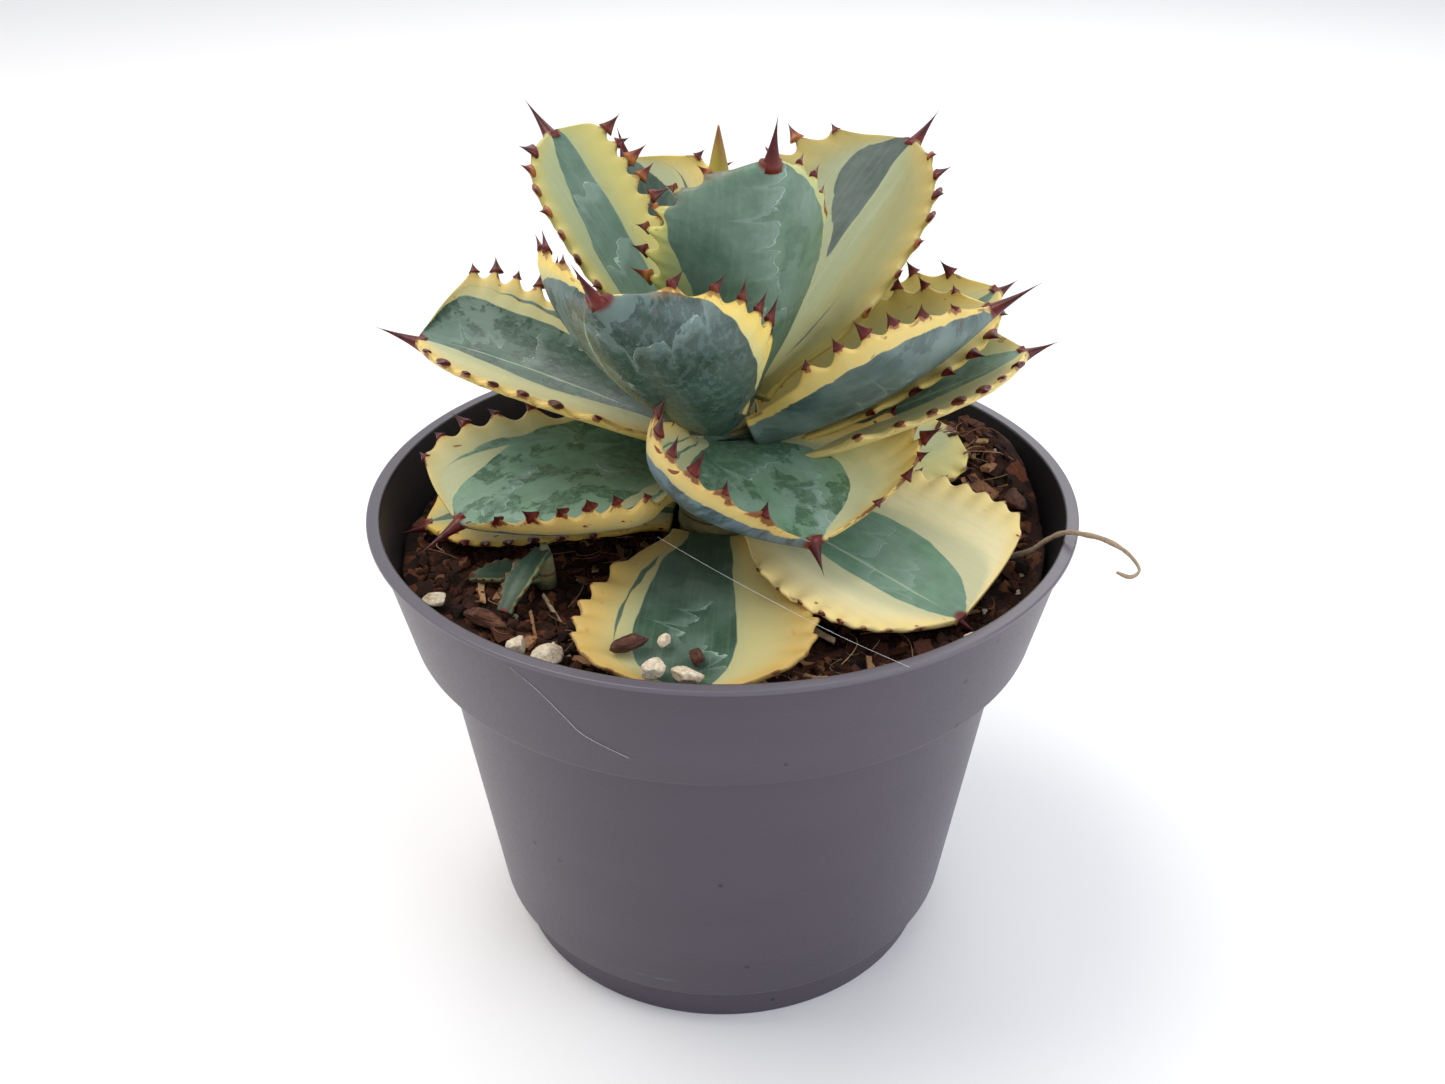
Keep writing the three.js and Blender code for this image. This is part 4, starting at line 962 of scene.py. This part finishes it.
# The edges of the bands run along the veins: long waves with a fine fray
long_wave = add(tree, "MapRange", leaf_noise(0.25, 0.06), 0.2, 0.8, -0.6, 0.6)
fray = add(tree, "MapRange", leaf_noise(1.6, 0.16, 3.0), 0.2, 0.8, -0.14, 0.14)
wander = add(tree, "Math", long_wave, fray, operation="ADD")
inside = add(tree, "Math", part["band"].outputs["X"], part["band"].outputs["Y"], operation="MINIMUM")
inside = add(tree, "Math", inside, wander, operation="ADD")
core = add(tree, "MapRange", inside, -0.12, 0.12, **SOFT)
inside = add(tree, "Math", part["zone"].outputs["X"], part["zone"].outputs["Y"], operation="MINIMUM")
inside = add(tree, "Math", inside, wander, operation="ADD")
zone = add(tree, "MapRange", inside, -2.0, 2.0, **SOFT)

# Imprints: the print of another leaf's toothed margin, a scalloped line with a cusp at each tooth. One
# unit of its second coordinate is one tooth, and the cusps reach out by luck.
lines, glows, flanks = [], [], []
shake = add(tree, "MapRange", leaf_noise(0.35, 0.35, 3.0), 0.2, 0.8, -1.6, 1.6)
for letter in "abc":
    side, run, fade = part["imprint_" + letter].outputs[:3]
    count = add(tree, "Math", run, operation="FLOOR")
    luck = add(tree, "TexWhiteNoise", count, noise_dimensions="1D")
    reach = add(tree, "MapRange", luck, 0.0, 1.0, 2.4, 8.4)
    local = add(tree, "Math", run, count, operation="SUBTRACT")
    peak = add(tree, "Math", local, 0.5, operation="PINGPONG")
    double = add(tree, "Math", peak, 2.0, **TIMES)
    cusp = add(tree, "Math", double, 5.0, operation="POWER")
    dip = add(tree, "Math", peak, -2.6, **TIMES)
    profile = add(tree, "Math", cusp, reach, dip, operation="MULTIPLY_ADD")
    shaken = add(tree, "Math", side, shake, operation="ADD")
    away = add(tree, "Math", shaken, profile, operation="SUBTRACT")
    near = add(tree, "Math", away, operation="ABSOLUTE")
    thin = add(tree, "MapRange", near, 0.32, 0.08, **SOFT)
    lines.append(add(tree, "Math", thin, fade, **TIMES))
    falling = add(tree, "MapRange", away, 3.2, 0.0, **SOFT)
    beyond = add(tree, "MapRange", away, -0.12, 0.12, **SOFT)
    beyond = add(tree, "Math", beyond, fade, **TIMES)
    flanks.append(beyond)
    glows.append(add(tree, "Math", falling, beyond, **TIMES))
line = add(tree, "Math", lines[0], lines[1], **LARGER)
line = add(tree, "Math", line, lines[2], **LARGER)
broken = add(tree, "MapRange", leaf_noise(0.3, 0.3, 3.0, 0.6), 0.42, 0.6, **SOFT)
line = add(tree, "Math", line, broken, **TIMES)
glow = add(tree, "Math", glows[0], glows[1], **LARGER)
glow = add(tree, "Math", glow, glows[2], **LARGER)

# Rubbed wax: darker, wet-looking patches with a crawling edge, and all of one side of the first imprint
patch = add(tree, "MapRange", leaf_noise(0.16, 0.12, 4.0, 0.6), 0.5, 0.54, **SOFT)
flank = add(tree, "Math", flanks[0], 0.85, **TIMES)
rubbed = add(tree, "Math", patch, flank, **LARGER)
rubbed = add(tree, "Math", rubbed, rub, **TIMES)
crawl = add(tree, "MapRange", leaf_noise(0.9, 0.7, 3.0, 0.65), 0.44, 0.5, 0.45, 0.95, **SOFT)

# The green: its back is bluer, pale veins run along it, and bloom lies on it in clouds
upwards = add(tree, "MapRange", face, -0.3, 0.3, **SOFT)
green = add(tree, "Mix", upwards, read["back"].outputs["Color"], read["green"].outputs["Color"], **RGBA)
darker = add(tree, "Mix", 1.0, green, linear("#c2cbc3"), **RGBA, blend_type="MULTIPLY")
mottle = add(tree, "MapRange", leaf_noise(0.35, 0.3, 3.0), 0.2, 0.8, 0.3, 1.0, **SOFT)
green = add(tree, "Mix", mottle, darker, green, **RGBA)
vein = add(tree, "MapRange", leaf_noise(1.3, 0.035, 3.0, 0.6), 0.45, 0.75, **SOFT)
faint_vein = add(tree, "Math", vein, 0.1, **TIMES)
green = add(tree, "Mix", faint_vein, green, linear("#b4c4a4"), **RGBA)
wet_green = add(tree, "Mix", 1.0, green, linear("#90a594"), **RGBA, blend_type="MULTIPLY")
wetness = add(tree, "Math", rubbed, crawl, **TIMES)
green = add(tree, "Mix", wetness, green, wet_green, **RGBA)
cloud = add(tree, "MapRange", leaf_noise(0.11, 0.09, 3.0), 0.3, 0.7, **SOFT)
cloud = add(tree, "Math", cloud, bloom, **TIMES)
unrubbed = add(tree, "MapRange", rubbed, 0.0, 0.6, 1.0, 0.25)
cloud = add(tree, "Math", cloud, unrubbed, **TIMES)
green = add(tree, "Mix", cloud, green, linear("#8b9d95"), **RGBA)
soft_glow = add(tree, "Math", glow, 0.3, **TIMES)
green = add(tree, "Mix", soft_glow, green, linear("#9db5ae"), **RGBA)
bright_line = add(tree, "Math", line, 0.55, **TIMES)
green = add(tree, "Mix", bright_line, green, linear("#b6cbc0"), **RGBA)

# The cream: yellow towards the margin, with faint green veins, and a greyer zone beside the green
outer = add(tree, "MapRange", edge, 7.5, 0.5, **SOFT)
cream = add(tree, "Mix", outer, read["cream"].outputs["Color"], read["yellow"].outputs["Color"], **RGBA)
green_vein = add(tree, "MapRange", leaf_noise(0.7, 0.05, 3.0, 0.6), 0.42, 0.75, 0.0, 0.12, **SOFT)
cream = add(tree, "Mix", green_vein, cream, linear("#b3bd86"), **RGBA)
faint_line = add(tree, "Math", line, 0.3, **TIMES)
cream = add(tree, "Mix", faint_line, cream, linear("#b7bb8c"), **RGBA)
grey_cream = add(tree, "Mix", 0.45, cream, linear("#93a687"), **RGBA)
half_vein = add(tree, "Math", vein, 0.25, **TIMES)
grey_cream = add(tree, "Mix", half_vein, grey_cream, linear("#bcc3a2"), **RGBA)
cream = add(tree, "Mix", zone, cream, grey_cream, **RGBA)
skin = add(tree, "Mix", core, cream, green, **RGBA)

# Thin streaks beside the bands: green ones in the cream and pale ones in the green
streak_green = add(tree, "Mix", 0.35, green, linear("#5a7263"), **RGBA)
uneven = add(tree, "MapRange", leaf_noise(0.8, 0.12), 0.3, 0.7, 0.4, 1.3)
drift = add(tree, "Math", long_wave, 0.5, **TIMES)
for letter in "abc":
    off, width, kind = part["streak_" + letter].outputs[:3]
    width = add(tree, "Math", width, uneven, **TIMES)
    off = add(tree, "Math", off, drift, operation="ADD")
    off = add(tree, "Math", off, operation="ABSOLUTE")
    inside = add(tree, "Math", width, off, operation="SUBTRACT")
    mark = add(tree, "MapRange", inside, -0.1, 0.15, **SOFT)
    is_green = add(tree, "Math", kind, 0.5, operation="GREATER_THAN")
    is_pale = add(tree, "Math", kind, -0.5, operation="LESS_THAN")
    green_mark = add(tree, "Math", mark, is_green, **TIMES)
    pale_mark = add(tree, "Math", mark, is_pale, **TIMES)
    pale_mark = add(tree, "Math", pale_mark, 0.6, **TIMES)
    skin = add(tree, "Mix", green_mark, skin, streak_green, **RGBA)
    skin = add(tree, "Mix", pale_mark, skin, linear("#b7c6a6"), **RGBA)

# Corky brown-red feet round the teeth, dried margins and scars, more of them on an old leaf
old = add(tree, "MapRange", age, 0.0, 1.0, 0.25, 1.0)
halo = add(tree, "MapRange", tooth, 1.9, 0.9, 0.0, 0.3, **SOFT)
halo = add(tree, "Math", halo, old, **TIMES)
skin = add(tree, "Mix", halo, skin, linear("#c98f43"), **RGBA)
ragged = add(tree, "MapRange", leaf_noise(0.9, 0.9), 0.2, 0.8, -0.5, 0.5)
ragged = add(tree, "Math", tooth, ragged, operation="ADD")
ring = add(tree, "MapRange", ragged, 1.0, 0.7, **SOFT)
ring = add(tree, "Math", ring, old, **TIMES)
skin = add(tree, "Mix", ring, skin, linear("#6f2419"), **RGBA)
at_margin = add(tree, "MapRange", edge, 0.5, 0.15, **SOFT)
dried = add(tree, "MapRange", leaf_noise(0.25, 0.25, 3.0), 0.56, 0.66, **SOFT)
dried = add(tree, "Math", dried, at_margin, **TIMES)
dried = add(tree, "Math", dried, old, **TIMES)
skin = add(tree, "Mix", dried, skin, linear("#7d4030"), **RGBA)
spots = add(tree, "MapRange", leaf_noise(0.55, 0.3, 1.0), 0.68, 0.71, **SOFT)
outside = add(tree, "MapRange", edge, 4.2, 2.6, **SOFT)
aged = add(tree, "MapRange", age, 0.35, 0.9, **SOFT)
scar = add(tree, "Math", spots, outside, **TIMES)
scar = add(tree, "Math", scar, aged, **TIMES)
skin = add(tree, "Mix", scar, skin, linear("#7a2a1f"), **RGBA)
horny = add(tree, "MapRange", tip, 1.8, 0.9, **SOFT)
skin = add(tree, "Mix", horny, skin, linear("#6a2018"), **RGBA)

# The wax is matt, and wet-looking where it is rubbed; the skin is thinly translucent
wax = add(tree, "MapRange", leaf_noise(0.6, 0.5, 4.0, 0.6), 0.3, 0.7, 0.46, 0.62)
wet = add(tree, "Math", rubbed, core, **TIMES)
wet = add(tree, "Math", wet, 0.26, **TIMES)
gloss = add(tree, "Math", wax, wet, operation="SUBTRACT")
relief = add(tree, "Math", leaf_noise(1.4, 0.12), 0.14, **TIMES)
for height, share in ((line, 0.9), (leaf_noise(0.35, 0.3, 3.0), 0.7), (wetness, 0.18),
                      (leaf_noise(6.0, 6.0, 1.0), 0.06), (scar, -0.5)):
    relief = add(tree, "Math", height, share, relief, operation="MULTIPLY_ADD")
bump = add(tree, "Bump", named={"Height": relief, "Strength": 0.55, "Distance": 0.35 * MM})
drive(tree, shader, Base_Color=skin, Roughness=gloss, Normal=bump, Subsurface_Weight=0.06,
      Subsurface_Radius=(1.0, 0.8, 0.3), Subsurface_Scale=1.5 * MM)

# Teeth and spines are hard horn, polished as they grew: dark red-brown with an orange foot, and a
# black tip. It takes the eye as the deepest colour on the plant, with a small sharp highlight.
horn, tree, shader = new_material("agave horn, hard and glossy")
rise = add(tree, "Attribute", attribute_name="thorn_height").outputs["Fac"]
youth = add(tree, "Attribute", attribute_name="thorn_youth").outputs["Fac"]
streaks = add(tree, "TexNoise", object_millimetres(tree), 1.1, 3.0)
young = add(tree, "MapRange", youth, 0.55, 0.95)
foot_tone = add(tree, "Mix", young, linear("#66201a"), linear("#c47a34"), **RGBA)
shaft_tone = add(tree, "Mix", young, linear("#400a0e"), linear("#6b1d13"), **RGBA)
above_foot = add(tree, "MapRange", rise, 0.05, 0.45, **SOFT)
tone = add(tree, "Mix", above_foot, foot_tone, shaft_tone, **RGBA)
flame = add(tree, "MapRange", streaks, 0.45, 0.7, 0.0, 0.3, **SOFT)
tone = add(tree, "Mix", flame, tone, linear("#7c2119"), **RGBA)
at_tip = add(tree, "MapRange", rise, 0.8, 1.0, **SOFT)
tone = add(tree, "Mix", at_tip, tone, linear("#2c0d0d"), **RGBA)
bump = add(tree, "Bump", named={"Height": streaks, "Strength": 0.3, "Distance": 0.15 * MM})
drive(tree, shader, Base_Color=tone, Roughness=0.3, Specular_IOR_Level=0.35, Normal=bump)


# One thorn stands on each marked foot: a cone with a spread foot and a slight hook, laid out by a
# Geometry Nodes tree that reads each foot's aim, the way that its margin runs, and its size.
thorns, sizes = named_tree("thorns", {"Sides": 10, "Steps": 6, "Hook": 0.16, "Spread": 0.7})
cone = add(thorns, "GeometryNodeMeshCone", named={
    "Vertices": sizes["Sides"], "Side Segments": sizes["Steps"], "Radius Top": 0.0, "Radius Bottom": 1.0,
    "Depth": 1.0})
spot = add(thorns, "GeometryNodeInputPosition")
rise = add(thorns, "SeparateXYZ", spot).outputs["Z"]
left = add(thorns, "Math", 1.0, rise, operation="SUBTRACT")
slim = add(thorns, "Math", left, sizes["Spread"], operation="POWER")
narrow = add(thorns, "CombineXYZ", slim, slim, 1.0)
narrowed = add(thorns, "VectorMath", spot, narrow, **TIMES)
square = add(thorns, "Math", rise, rise, **TIMES)
bend = add(thorns, "Math", square, sizes["Hook"], **TIMES)
shift = add(thorns, "CombineXYZ", bend, 0.0, 0.0)
shaped = add(thorns, "GeometryNodeSetPosition", cone, named={"Position": narrowed, "Offset": shift})
graded = add(thorns, "GeometryNodeStoreNamedAttribute", shaped, named={
    "Name": "thorn_height", "Value": rise})
aim = add(thorns, "GeometryNodeInputNamedAttribute", "aim", data_type="FLOAT_VECTOR")
run = add(thorns, "GeometryNodeInputNamedAttribute", "run", data_type="FLOAT_VECTOR")
size = add(thorns, "GeometryNodeInputNamedAttribute", "size", data_type="FLOAT_VECTOR")
upright = add(thorns, "FunctionNodeAlignRotationToVector", named={"Vector": aim}, axis="Z")
turned_to = add(thorns, "FunctionNodeAlignRotationToVector", upright, named={"Vector": run}, axis="X",
                pivot_axis="Z")
stood = add(thorns, "GeometryNodeInstanceOnPoints", named={
    "Points": sizes["Geometry"], "Instance": graded, "Rotation": turned_to, "Scale": size})
real = add(thorns, "GeometryNodeRealizeInstances", stood)
smoothed = add(thorns, "GeometryNodeSetShadeSmooth", real)
coloured = add(thorns, "GeometryNodeSetMaterial", smoothed, named={"Material": horn})
add(thorns, "NodeGroupOutput", coloured)


def thorn_piece(name, feet, youth):
    """The thorns of one leaf, from their feet in millimetres."""
    spots, aims, runs, scales = (np.array([foot[k] for foot in feet], dtype=np.float32) for k in range(4))
    piece = mesh_piece(name, spots, [], horn)
    for title, values in (("aim", aims), ("run", runs), ("size", scales * MM)):
        layer = piece.data.attributes.new(title, "FLOAT_VECTOR", "POINT")
        layer.data.foreach_set("vector", values.ravel())
    layer = piece.data.attributes.new("thorn_youth", "FLOAT", "POINT")
    luck = random.Random(name)
    young = [youth * luck.uniform(0.5, 1.2) for _ in feet]
    young[-1] = youth * 0.6
    layer.data.foreach_set("value", young)
    grow(piece, thorns, Hook=0.16)
    return piece


def joined(pieces):
    """Several pieces as one, under the name of the first."""
    with bpy.context.temp_override(active_object=pieces[0], object=pieces[0], selected_objects=pieces,
                                   selected_editable_objects=pieces):
        bpy.ops.object.join()
    return pieces[0]


for number, leaf in enumerate(LEAVES):
    youth = 1 - {**PLAIN_PAINT, **PAINT.get(leaf["name"], {})}["age"]
    blade_piece, feet = leaf_mesh(leaf, number, flesh)
    horns = thorn_piece(leaf["name"] + "_thorns", feet, youth)
    whole = joined([blade_piece, horns])
    whole.name = leaf["name"] + "_grown"
    finish(whole, "leaf", leaf["name"])


# The youngest leaf, still rolled into a spear: pale yellow-green wax with a seam where its edge laps
# over, running out into an olive to brown horn point
BUD_FOOT = 104.8
BUD_TOP = 146.9
BUD_LINE = [(2.0, BUD_FOOT), (2.9, 110), (3.2, 117), (3.1, 123), (2.7, 130), (2.2, 136), (1.6, 140),
            (1.0, 143), (0.12, BUD_TOP)]
BUD_LAP = 0.07
BUD_LEAN = (-0.6, 1.2, 0)
BUD_SIDES = 56
bud_skin, tree, shader = new_material("rolled young agave leaf, waxy")
place = object_millimetres(tree)
height = add(tree, "SeparateXYZ", place).outputs["Z"]
stretched = add(tree, "VectorMath", place, (0.9, 0.9, 0.06), **TIMES)
vein = add(tree, "TexNoise", stretched, 1.0, 3.0)
uneven = add(tree, "Math", vein, 5.0, height, operation="MULTIPLY_ADD")
to_olive = add(tree, "MapRange", uneven, 131.0, 138.5, **SOFT)
to_horn = add(tree, "MapRange", uneven, 142.0, 148.5, **SOFT)
tone = add(tree, "Mix", vein, linear("#a9b56a"), linear("#dfe08a"), **RGBA)
tone = add(tree, "Mix", to_olive, tone, linear("#b5a03c"), **RGBA)
tone = add(tree, "Mix", to_horn, tone, linear("#8e5a22"), **RGBA)
shine = add(tree, "MapRange", to_horn, 0.0, 1.0, 0.5, 0.34)
bump = add(tree, "Bump", named={"Height": vein, "Strength": 0.3, "Distance": 0.3 * MM})
drive(tree, shader, Base_Color=tone, Roughness=shine, Normal=bump)
heights = np.linspace(BUD_FOOT, BUD_TOP, 90)
radii = np.interp(heights, [z for r, z in BUD_LINE], [r for r, z in BUD_LINE])
points, faces = turned(list(zip(radii, heights)), BUD_SIDES)
points = np.array(points)
angle = np.arctan2(points[:, 1], points[:, 0]) + points[:, 2] * 0.05
lap = 1 + BUD_LAP * smooth(0, 1, (angle / (2 * math.pi)) % 1) * smooth(146, 120, points[:, 2])
points[:, :2] *= lap[:, None]
finish(mesh_piece("bud_grown", points + BUD_LEAN, faces, bud_skin), "bud", "bud_spear")

# A young offset has come up through the filling at the front left: a stub with two small dark leaves
OFFSET_PLACE = (-29, -17)
SMALL = dict(at=OFFSET_PLACE, start=0.5, fold=40, widest=0.5, full=2, teeth=5, spine=1.2, tooth_size=0.15,
             swelling=0.4, wave=0.2, thickness=0.55,
             paint=dict(core=(-0.95, 0.95), zone=(-1, 1), green="#36543a", back="#42604b", cream="#74895c",
                        yellow="#808a52", rub=0.2, bloom=0.2, age=0.2))
OFFSET_LEAVES = [
    dict(SMALL, name="offset_left", az=-92, z=78.2, rise=7, tip_rise=-10, length=12, half=3.2),
    dict(SMALL, name="offset_front", az=-27, z=83.5, rise=-8, tip_rise=-42, length=13, half=2.2)]
shoot = []
for number, leaf in enumerate(OFFSET_LEAVES):
    blade_piece, feet = leaf_mesh(leaf, 40 + number, flesh, rows_wanted=44, columns=20)
    shoot += [blade_piece, thorn_piece(leaf["name"] + "_thorns", feet, 0.4)]
points, faces = turned([(1.7, 0), (1.6, 2.5), (1.3, 5.5), (0.6, 7.8)], 24)
foot = (*OFFSET_PLACE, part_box("offset_shoot")[0][2] / MM)
shoot.append(mesh_piece("offset_stub", np.array(points) + foot, faces, stem_skin))
young = joined(shoot)
young.name = "offset_grown"
finish(young, "offset", "offset_shoot")

# Bigger lumps of the mix lie on the filling and on the lowest leaf: crushed pumice, light and porous,
# and chips of pine bark, split along the grain. Each is a ball cut by planes, as a broken stone is.
pumice, tree, shader = new_material("pumice, crushed and porous")
place = object_millimetres(tree)
pores = add(tree, "TexNoise", place, 1.8, 4.0, 0.7)
# Painted shade: the pumice is painted darker in its pits, as shade in the pores; the same pits make its
# relief
pit_depth_and_shade = add(tree, "MapRange", pores, 0.3, 0.55)
stain = add(tree, "TexNoise", place, 0.5, 4.0, 0.6)
dirty = add(tree, "MapRange", stain, 0.5, 0.7, 0.0, 0.6)
tone = add(tree, "Mix", pit_depth_and_shade, linear("#cdb899"), linear("#efe1c8"), **RGBA)
tone = add(tree, "Mix", dirty, tone, linear("#b58a5f"), **RGBA)
rough = add(tree, "TexNoise", place, 2.5, 3.0)
relief = add(tree, "Math", pit_depth_and_shade, rough, operation="ADD")
bump = add(tree, "Bump", named={"Height": relief, "Strength": 0.5, "Distance": 0.35 * MM})
drive(tree, shader, Base_Color=tone, Roughness=0.95, Normal=bump)

bark, tree, shader = new_material("pine bark chips, split")
lengthways = add(tree, "Attribute", attribute_name="grain")
stretched = add(tree, "VectorMath", lengthways.outputs["Vector"], (0.22, 1.5, 1.5), **TIMES)
layers = add(tree, "TexNoise", stretched, 1.0, 4.0, 0.65)
blotch = add(tree, "TexNoise", object_millimetres(tree), 0.45, 3.0)
light = add(tree, "MapRange", layers, 0.35, 0.65)
tone = add(tree, "Mix", light, linear("#2c1710"), linear("#6b3f2c"), **RGBA)
worn = add(tree, "MapRange", blotch, 0.55, 0.7, 0.0, 0.55)
tone = add(tree, "Mix", worn, tone, linear("#9a6f50"), **RGBA)
bump = add(tree, "Bump", named={"Height": layers, "Strength": 0.9, "Distance": 0.5 * MM})
drive(tree, shader, Base_Color=tone, Roughness=0.85, Normal=bump)

CHIP_TURNS = dict(
    pumice_front=20, pumice_front_left=75, pumice_left=10, pumice_front_right=12, pumice_rear=50,
    pumice_on_leaf_left=30, pumice_on_leaf_right=-10, pumice_on_leaf_top=60, bark_on_leaf_left=25,
    bark_on_leaf_right=100, bark_right=95, bark_front_left=-35, bark_front_right=30, bark_rear=-15)
CUTS = 9
for name, turn in CHIP_TURNS.items():
    luck = np.random.default_rng(sum(map(ord, name)))
    aims = luck.normal(size=(CUTS, 3))
    aims /= np.linalg.norm(aims, axis=1)[:, None]
    depths = luck.uniform(0.48, 0.95, CUTS)
    form = bmesh.new()
    bmesh.ops.create_icosphere(form, subdivisions=4, radius=1)
    points = np.array([corner.co for corner in form.verts])
    faces = [tuple(corner.index for corner in face.verts) for face in form.faces]
    form.free()
    facing = points @ aims.T
    cut = np.where(facing > 0.05, depths / np.maximum(facing, 0.05), 9)
    points *= np.minimum(cut.min(axis=1), 1.0)[:, None]
    long_share = 0.42 if name.startswith("bark") else 0.75
    points *= (1, long_share, 0.6 * (1 + long_share))
    grain_place = points * 4
    roughness = [noise.noise(Vector(p) * 5) * 0.05 + noise.noise(Vector(p) * 11) * 0.03 for p in points]
    points *= 1 + np.array(roughness)[:, None]
    c, s = math.cos(math.radians(turn)), math.sin(math.radians(turn))
    points = points @ np.array([[c, s, 0], [-s, c, 0], [0, 0, 1]])
    low, high = (np.array(corner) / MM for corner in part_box(name))
    span = points.max(0) - points.min(0)
    points = low + (points - points.min(0)) / span * (high - low)
    chip = mesh_piece(name + "_lump", points, faces, bark if name.startswith("bark") else pumice)
    layer = chip.data.attributes.new("grain", "FLOAT_VECTOR", "POINT")
    layer.data.foreach_set("vector", grain_place.astype(np.float32).ravel())
    finish(chip, name.split("_")[0], name)

# A dry root climbs out of the filling, lies over the rim and ends in a hook. One tree gives a line its
# thickness, uneven and thinner to its end, and it also makes the strand of cobweb.
strand, sizes = named_tree("strand", {"Radius": 0.5, "End": 0.5, "Knots": 0.3, "Sides": 8, "Steps": 120})
line = add(strand, "GeometryNodeMeshToCurve", sizes["Geometry"])
line = add(strand, "GeometryNodeCurveSplineType", line, spline_type="CATMULL_ROM")
line = add(strand, "GeometryNodeResampleCurve", line, named={"Count": sizes["Steps"]})
ring = add(strand, "GeometryNodeCurvePrimitiveCircle", named={"Resolution": sizes["Sides"],
                                                                "Radius": sizes["Radius"]})
along = add(strand, "GeometryNodeSplineParameter").outputs["Factor"]
taper = add(strand, "MapRange", along, 0.0, 1.0, 1.0, sizes["End"])
spot = add(strand, "GeometryNodeInputPosition")
knots = add(strand, "TexNoise", spot, 380.0)
knots = add(strand, "Math", knots, 0.5, operation="SUBTRACT")
knots = add(strand, "Math", knots, sizes["Knots"], taper, operation="MULTIPLY_ADD")
body = add(strand, "GeometryNodeCurveToMesh", line, ring, named={"Scale": knots, "Fill Caps": True})
add(strand, "NodeGroupOutput", add(strand, "GeometryNodeSetShadeSmooth", body))


def strand_piece(name, points, material, **sizes):
    """A strand of one material along points in millimetres."""
    piece = mesh_piece(name, [], [], material)
    links = [(k, k + 1) for k in range(len(points) - 1)]
    piece.data.from_pydata([tuple(Vector(p) * MM) for p in points], links, [])
    grow(piece, strand, **sizes)
    piece.data.materials.clear()
    piece.data.materials.append(material)
    return piece


dry_fibre, tree, shader = new_material("dead root, dry and fibrous")
grain = add(tree, "TexNoise", object_millimetres(tree), 1.6, 4.0, 0.6)
tone = add(tree, "Mix", grain, linear("#6f5b49"), linear("#c7b196"), **RGBA)
bump = add(tree, "Bump", named={"Height": grain, "Strength": 0.7, "Distance": 0.3 * MM})
drive(tree, shader, Base_Color=tone, Roughness=0.9, Normal=bump)
ROOT_RADIUS = 0.55
ROOT_LINE = [(47.5, -13.2, 79.6), (50.4, -15, 81.6), (52.8, -16.8, 85), (54.9, -18.7, 87.4),
             (57, -20.6, 88.2), (59.9, -23, 88.6), (62.8, -25.9, 88), (64.3, -28.7, 86.6),
             (62.8, -29.7, 85.8), (60.9, -28.6, 86)]
root_piece = strand_piece("dry_root_strand", ROOT_LINE, dry_fibre, Radius=ROOT_RADIUS * MM, End=0.55,
                          Knots=0.9)
finish(root_piece, "dry_root", "dry_root")

# Two strands of cobweb, one from a leaf to the rim and one on the collar: silk, too fine to show at its
# real size, so it is drawn a little thicker.
silk, tree, shader = new_material("cobweb silk")
sheen = add(tree, "TexNoise", object_millimetres(tree), 0.5, 2.0)
tone = add(tree, "Mix", sheen, linear("#c9c9c9"), linear("#ffffff"), **RGBA)
drive(tree, shader, Base_Color=tone, Roughness=0.4)
WEB_LINE = [(-10, -27, 91.4), (-1, -34, 89.6), (8, -41, 88.2), (17, -48, 87.1), (25.9, -54.2, 86.3)]
SILK_RADIUS = 0.03
CLEAR_OF_WALL = 0.2
COLLAR_WEB = [(-121, 83.5), (-117, 80.5), (-113.5, 76.5), (-110.5, 73.2), (-104, 70.2)]
web_points = []
for degrees, z in COLLAR_WEB:
    r = pot_inside(z) + WALL + CLEAR_OF_WALL
    web_points.append((r * math.cos(math.radians(degrees)), r * math.sin(math.radians(degrees)), z))
for name, line in (("cobweb_strand", WEB_LINE), ("collar_cobweb", web_points)):
    web = strand_piece(name, line, silk, Radius=SILK_RADIUS * MM, End=1.0, Knots=0.2, Sides=4, Steps=40)
    finish(web, "dry_root")
